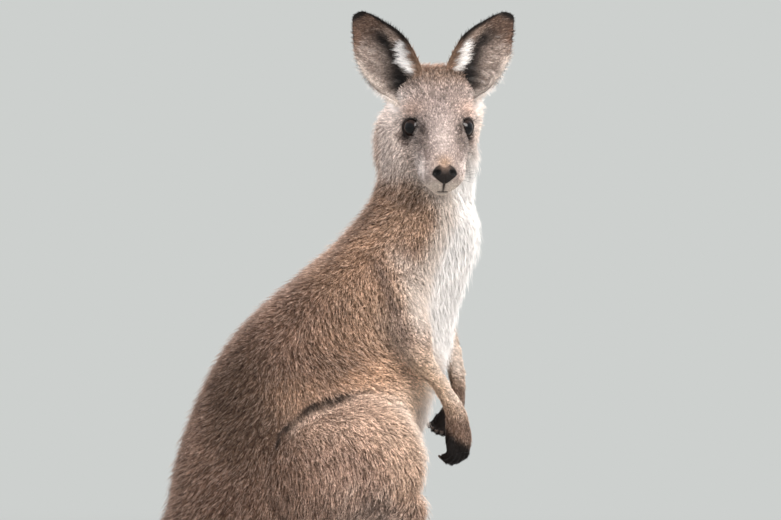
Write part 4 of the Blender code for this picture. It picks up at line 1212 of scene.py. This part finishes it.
def banding_group():
    """Bands of one hair: dark at the root, then the coat's colour, a dark or a pale worn tip by chance."""
    tree, given, made = group("hair_bands", [("Colour", "Color", (.5, .5, .5, 1)), ("Along", "Float", 1.0),
                                             ("Chance", "Float", .5), ("Root", "Float", .6),
                                             ("Contrast", "Float", 1.0), ("Even", "Float", 0.0)],
                              [("Colour", "Color")])
    root = mapped(tree, given["Along"], mapped(tree, given["Even"], given["Root"], .9), 1.0, 0.15, 0.72)
    pick = node(tree, "ValToRGB", {"Fac": given["Chance"]})
    pick.color_ramp.elements[0].color, pick.color_ramp.elements[1].color = (.14, .14, .14, 1), (1, 1, 1, 1)
    for at, level in ((.18, .3), (.36, .56), (.62, .68), (.82, .9)):
        pick.color_ramp.elements.new(at).color = (level, level, level, 1)
    tip = maths(tree, "SUBTRACT", maths(tree, "MULTIPLY", pick.outputs["Color"], 1.9), 1.0)
    far = maths(tree, "MULTIPLY", mapped(tree, given["Along"], 0.0, 1.0, 0.35, 0.95), given["Contrast"])
    far = maths(tree, "MULTIPLY", far, mapped(tree, given["Even"], 1.0, .2))
    band = maths(tree, "MULTIPLY", root, maths(tree, "MULTIPLY_ADD", tip, far, 1.0))
    pale = mapped(tree, maths(tree, "MULTIPLY", tip, far), 0.0, .5, 0.0, .9)
    green = node(tree, "SeparateColor", {0: given["Colour"]}).outputs[1]
    pale = maths(tree, "MULTIPLY", pale, mapped(tree, green, 0.0, 1.0, .01, .1))
    fill(made, {"Colour": blend(tree, pale, scaled(tree, given["Colour"], band), solid(214, 198, 186))})
    return tree


BLOTCHES, BANDS = blotch_group(), banding_group()


def blotched(tree, colour, broad, fine, broad_scale, fine_scale):
    """The colour with blotches of two sizes: the group's outputs."""
    return node(tree, "Group", {"Colour": colour, "Broad": broad, "Fine": fine, "Broad scale": broad_scale,
                                "Fine scale": fine_scale}, node_tree=BLOTCHES).outputs


def named(tree, name, output="Fac"):
    """An attribute of the mesh."""
    return node(tree, "Attribute", attribute_name=name).outputs[output]


def strand_of(tree):
    """Share of the length, the tuft's chance number and how even its colour is."""
    return node(tree, "SeparateColor", {0: named(tree, "strand", "Color")}).outputs


def coat_material(name, contrast, root, speckle):
    """Banded hairs; broad and fine blotches run over them, the fine ones by the given share."""
    material, tree, shader = new_material(name)
    along, chance, even = strand_of(tree)
    given = {"Colour": named(tree, "coat_colour", "Color"), "Along": along, "Chance": chance, "Even": even,
             "Root": root, "Contrast": contrast}
    bands = node(tree, "Group", given, node_tree=BANDS).outputs[0]
    spots = blotched(tree, bands, .12, mapped(tree, even, speckle, .05), 60.0, 470.0)
    fill(shader, {"Base Color": spots["Colour"], "Roughness": 0.62, "Specular IOR Level": 0.16,
                  "Sheen Weight": 0.06, "Sheen Roughness": 0.5})
    return material


def skin_material():
    """Skin under the coat: its markings with a fine hairy grain; bare parts are pebbled and glossier."""
    material, tree, shader = new_material("skin")
    spots = blotched(tree, named(tree, "coat_colour", "Color"), .1, .22, 90.0, 900.0)
    gloss = named(tree, "gloss")
    pebble = node(tree, "TexVoronoi", {"Vector": object_place(tree), "Scale": 1100.0}).outputs["Distance"]
    height = {"Factor": gloss, "A": spots["Grain"], "B": pebble}
    height = node(tree, "Mix", height, data_type="FLOAT").outputs[0]
    bump = node(tree, "Bump", {"Height": height, "Strength": 0.5, "Distance": 0.0006}).outputs[0]
    fill(shader, {"Base Color": spots["Colour"], "Roughness": mapped(tree, gloss, .8, .48), "Normal": bump,
                  "Specular IOR Level": 0.25})
    return material


def eye_material():
    """Dark wet eye: a black pupil, a brown streaked iris with a darker rim, a dark white of the eye."""
    material, tree, shader = new_material("eye")
    ring, around = named(tree, "ring"), named(tree, "around")
    spoke = node(tree, "CombineXYZ", {0: maths(tree, "MULTIPLY", around, 60.0),
                                      1: maths(tree, "MULTIPLY", ring, 14.0)}).outputs[0]
    streak = streaks(tree, spoke, 1.0, 3.0)
    ramp = node(tree, "ValToRGB", {"Fac": maths(tree, "MULTIPLY_ADD", streak, 0.03, ring)})
    ramp.color_ramp.elements[0].color, ramp.color_ramp.elements[1].color = (0, 0, 0, 1), solid(26, 18, 16)
    for at, colour in ((.42, (8, 6, 6)), (.46, (36, 24, 19)), (.66, (46, 31, 24)), (.72, (16, 11, 10))):
        ramp.color_ramp.elements.new(at).color = solid(*colour)
    dark = blend(tree, maths(tree, "MULTIPLY", streak, .6), ramp.outputs["Color"], (.004, .003, .003, 1))
    fill(shader, {"Base Color": dark, "Roughness": 0.07, "Specular IOR Level": 0.25})
    return material


def claw_material():
    """Dark horn with fine lengthwise streaks, worn paler towards the point."""
    material, tree, shader = new_material("claw_horn")
    streak = streaks(tree, object_place(tree), 1400.0, 2.0)
    worn = blend(tree, named(tree, "along"), solid(26, 20, 18), solid(66, 54, 47))
    bump = node(tree, "Bump", {"Height": streak, "Strength": 0.35, "Distance": 0.0003}).outputs[0]
    fill(shader, {"Base Color": blotched(tree, worn, .2, .3, 250.0, 1600.0)["Colour"],
                  "Roughness": mapped(tree, streak, .28, .5), "Normal": bump})
    return material


def whisker_material():
    """Stiff hair, dark at the root and paler and clearer towards the point."""
    material, tree, shader = new_material("whisker_hair")
    colour = blend(tree, strand_of(tree)[0], solid(36, 26, 22), solid(96, 80, 72))
    fill(shader, {"Base Color": blotched(tree, colour, .2, .2, 120.0, 900.0)["Colour"], "Roughness": 0.4})
    return material


def eyeball(side, material):
    """Ball of the eye, its clear front a little proud: radius R + 0.7 exp(-(a/33)^4), a from the gaze."""
    sides, right = 56, [1, SIGN[side], 1]
    axis = unit((EYE_OUT * right) @ HEAD_AXES)
    first = unit(np.cross(HEAD_U, axis))
    second = np.cross(axis, first)
    a = np.concatenate([np.linspace(0, 100, 56)[1:], [125, 150]])[:, None]
    turn = np.linspace(0, 2 * math.pi, sides, endpoint=False)[None, :, None]
    radius = EYE_RADIUS + 0.7 * np.exp(-(a / 33) ** 4)
    slant = np.radians(a)[..., None]
    ray = axis * np.cos(slant) + (first * np.cos(turn) + second * np.sin(turn)) * np.sin(slant)
    centre = in_body(EYE_CENTRE * right)
    points = np.concatenate([(centre + ray * radius[..., None]).reshape(-1, 3),
                             [centre + axis * (EYE_RADIUS + .7), centre - axis * EYE_RADIUS]])
    mesh = quick_mesh("eyeball_" + side, points, capped(len(a), sides))
    attribute(mesh, "ring", np.concatenate([np.repeat(a.ravel() / 75, sides), [0, 2]]))
    attribute(mesh, "around", np.concatenate([np.tile(np.abs(np.linspace(-1, 1, sides)), len(a)), [0, 0]]))
    placed(mesh.name, mesh, material, ["eye_" + side])


def claw(kind, number, side, frames, sides, material):
    """Loft with a point at its end, kept clear of the floor; the share of the length goes with it."""
    count, centre = len(frames["centre"]), frames["centre"]
    tip = centre[-1] + frames["along"][-1] * frames["wide"][-1]
    points = np.concatenate([shell(frames, sides)[0], [centre[0], tip]])
    points[:, 2] = np.maximum(points[:, 2], CLAW_OVER_FLOOR)
    mesh = quick_mesh(f"claw_{kind}_{number}_{side}", points, outward(points, capped(count, sides)))
    attribute(mesh, "along", np.concatenate([np.repeat(np.linspace(0, 1, count), sides), [0, 1]]))
    placed(mesh.name, mesh, material, [f"{kind}_claw_{number}_{side}"])


def claws(side, material):
    """The claws of one foot and one hand."""
    for name, rows in FOOT_CLAWS.items():
        claw("foot", name, side, limb(standing(rows, side), 16), 14, material)
    for k, (path, hook, ahead, across) in enumerate(digits_of(side)):
        root = path[2] - unit(path[2] - path[1]) * 2.0
        curve = [root + hook * a + ahead * b for a, b in ((0, 0), (3.4, .6), (6, .2), (7.4, -1.2))]
        rows = [(*p, w, w * 1.25, w * 1.25, 2) for p, w in zip(curve, (1.9, 1.6, 1.0, 0.3))]
        claw("hand", k + 1, side, limb(rows, 14, across=across), 10, material)


def outward(points, tris):
    """The triangles turned so that the volume they hold is positive."""
    centre = points - points.mean(0)
    volume = (np.cross(centre[tris[:, 0]], centre[tris[:, 1]]) * centre[tris[:, 2]]).sum()
    return tris if volume > 0 else tris[:, ::-1]


def long_hairs(name, root, out, lie, length, width, lift, material):
    """Whiskers or lashes: long thin bent spikes."""
    count, lie = len(root), along_skin(lie, out)
    points, tris, share, _, _ = spikes(root, unit(out), unit(lie), length, np.full(count, width),
                                       np.full(count, lift), True, 0.1)
    mesh = quick_mesh(name, points, tris)
    attribute(mesh, "strand", np.column_stack([share, share, share]))
    placed(name, mesh, material)


def whiskers(material):
    """Rows of whiskers on the whisker pads, a few over the eyes, and the upper lashes."""
    f, u = (grid.ravel() for grid in np.meshgrid([48, 53, 58.5], [-12.5, -18.5], indexing="ij"))
    count, lashes = len(f), 26
    jitter = rng.normal(0, 1.1, (2, count))
    f, u = f + jitter[0], u + jitter[1]
    wide = np.interp(f, [46, 56, 63], [25, 22.6, 18.6])
    brow = np.array([(8, 30.5, 27.0), (4, 32.5, 27.5), (0, 34, 27)])
    for side, sign in SIGN.items():
        flip = [1, sign, 1]
        root = in_body(np.column_stack([f, sign * (wide - 1.2), u]))
        out = unit(np.tile([0.25, sign, -0.1], (count, 1)) @ HEAD_AXES)
        lie = np.column_stack([-0.75 + 0 * f, 0 * f, -0.35 + 0.1 * rng.normal(size=count)]) @ HEAD_AXES
        long = 17 + 16 * rng.random(count)
        root = np.concatenate([root, in_body(brow * flip - [0, sign * 1.5, 1.5])])
        out = np.concatenate([out, np.tile(unit(np.array([.2, sign * .8, .6]) @ HEAD_AXES), (3, 1))])
        lie = np.concatenate([lie, np.tile(np.array([-.6, sign * .2, .3]) @ HEAD_AXES, (3, 1))])
        long = np.concatenate([long, [11, 13, 10]])
        long_hairs("whiskers_" + side, root, out, lie, long, 0.24, 0.62, material)
        turn = np.radians(np.linspace(12, 168, lashes) + rng.normal(0, 2, lashes))[:, None]
        across = EYE_FRONT * np.cos(turn) + EYE_RISE * np.sin(turn)
        edge = np.radians(lid_edge(turn) + 3)
        ray = EYE_AXIS * np.cos(edge) + across * np.sin(edge)
        root = in_body((EYE_CENTRE + ray * (EYE_RADIUS + 1.2)) * flip)
        out = (unit(ray * 0.4 + EYE_AXIS) * flip) @ HEAD_AXES
        lie = unit((across * flip) @ HEAD_AXES)
        long_hairs("lashes_" + side, root, out, lie, 3.4 + 1.6 * rng.random(lashes), 0.5, 0.75, material)


BACKDROP, WORLD_LIGHT = tone(205, 208, 206), 0.84
# In metres: half of the floor's width, the camera's distance, and the width it sees at the animal.
FLOOR_HALF, CAMERA_AWAY, VIEW_WIDTH = 30, 6, 0.82005
# Lamps: name, place, size, watts, colour.
LAMPS = [("key", (2.0, -2.2, 2.4), 1.8, 138, (1, .96, .92)),
         ("fill", (-2.6, -2.0, 1.4), 2.4, 54, (.98, .98, 1)),
         ("low", (2.3, -1.7, .3), 1.2, 16, (1, .97, .94)), ("rim", (2.2, 1.9, 1.9), 1.6, 78, (1, .98, .95)),
         ("top", (-.5, .9, 3.0), 2.0, 90, (1, 1, 1)), ("edge", (-2.4, 2.0, 2.2), 1.6, 36, (1, .98, .95))]


def aimed(thing, way):
    """Turns a lamp or a camera to look a given way."""
    thing.rotation_mode = "QUATERNION"
    thing.rotation_quaternion = Vector(way).to_track_quat("-Z", "Y")


def studio():
    """Pale floor that fades into the backdrop, soft lights and the camera."""
    corners = np.array([(-1, -1, 0), (1, -1, 0), (1, 1, 0), (-1, 1, 0)], float) * FLOOR_HALF
    mesh = plain_mesh("floor", corners, [[0, 1, 2, 3]])
    material, tree, shader = new_material("floor_pale")
    fill(shader, {"Base Color": (.27, .27, .265, 1), "Roughness": 0.9})
    away = node(tree, "VectorMath", {0: object_place(tree)}, operation="LENGTH").outputs["Value"]
    fade = mapped(tree, away, 0.0, 1.0, 1.2, 4.5, interpolation_type="SMOOTHSTEP")
    glow = node(tree, "Emission", {"Color": (*BACKDROP, 1), "Strength": 1.0}).outputs[0]
    both = node(tree, "MixShader", {0: fade, 1: shader.outputs[0], 2: glow}).outputs[0]
    fill(tree.nodes["Material Output"], {"Surface": both})
    mesh.materials.append(material)
    floor = in_scene("floor", mesh)
    scene = bpy.context.scene
    scene.world = bpy.data.worlds.new("studio")
    scene.world.use_nodes = True
    tree = scene.world.node_tree
    seen = fill(tree.nodes["Background"], {"Color": (*BACKDROP, 1)}).outputs[0]
    lit = node(tree, "Background", {"Color": (.86, .9, .95, 1), "Strength": WORLD_LIGHT}).outputs[0]
    direct = node(tree, "LightPath").outputs["Is Camera Ray"]
    both = node(tree, "MixShader", {0: direct, 1: lit, 2: seen}).outputs[0]
    fill(tree.nodes["World Output"], {"Surface": both})
    for name, place_at, size, power, colour in LAMPS:
        light = bpy.data.lights.new(name, "AREA")
        light.size, light.energy, light.color = size, power, colour
        lamp = in_scene(name, light)
        lamp.location, lamp.visible_glossy = place_at, name == "key"
        aimed(lamp, np.array([0.25, 0, .42]) - place_at)
    scene.view_settings.view_transform = "Standard"
    camera = in_scene("camera", bpy.data.cameras.new("camera"))
    scene.camera = camera
    turn = math.radians(5)
    toward = np.array([math.sin(turn), -math.cos(turn), 0])
    camera.location = np.array([SHIFT[0] * MM, 0, 0.462]) + CAMERA_AWAY * toward
    aimed(camera, -toward)
    camera.data.sensor_width, camera.data.lens = 36, 36 * CAMERA_AWAY / VIEW_WIDTH
    camera.data.clip_start, camera.data.clip_end = 0.1, 100


def main():
    """Skins first, then eyes and claws, the coat and the studio."""
    surfaces = [("body", *body_surface())]
    for side in SIGN:
        surfaces += [("hand_" + side, *hand_surface(side)), ("foot_" + side, *foot_surface(side))]
    made = []
    for name, points, tris in surfaces:
        points[:, 2] = np.maximum(points[:, 2], SKIN_OVER_FLOOR)
        normals = normals_of(points, tris)
        made.append((name, points, tris, normals, body_coat(points, normals, name)))
    for side in SIGN:
        points, tris, facts = ear_surface(side)
        normals = normals_of(points, tris)
        made.append(("ear_" + side, points, tris, normals, ear_coat(points, normals, facts)))
    start = np.cumsum([0] + [len(m[1]) for m in made])
    mesh = quick_mesh("skin_of_body", np.concatenate([m[1] for m in made]),
                      np.concatenate([m[2] + s for m, s in zip(made, start)]))
    colour, bare, gloss = (np.concatenate([m[4][key] for m in made]) for key in ("colour", "bare", "gloss"))
    # The skin takes the coat's markings, darker wherever the coat grows: painted shade under its roots.
    attribute(mesh, "coat_colour", colour * (0.62 + 0.38 * bare)[:, None])
    attribute(mesh, "gloss", gloss)
    flesh = [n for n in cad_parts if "claw" not in n and not n.startswith("eye")]
    placed("skin_of_body", mesh, skin_material(), flesh)
    horn, wet = claw_material(), eye_material()
    for side in SIGN:
        eyeball(side, wet)
        claws(side, horn)
    fur = {"body": coat_material("coat_of_body", 1.0, .34, .85),
           "ear": coat_material("coat_of_ears", .85, .5, .6)}
    for name, points, tris, normals, fields in made:
        fields["points"] = points
        kind = "ear" if name.startswith("ear") else "body"
        for hair, dense in (("fur", fields["dense"]), ("guard", fields["guard"])):
            tufted(f"coat_{name}_{hair}", scattered(points, tris, dense), fields, hair == "guard",
                   fur[kind], normals, CLUMP[kind])
    whiskers(whisker_material())
    studio()


main()
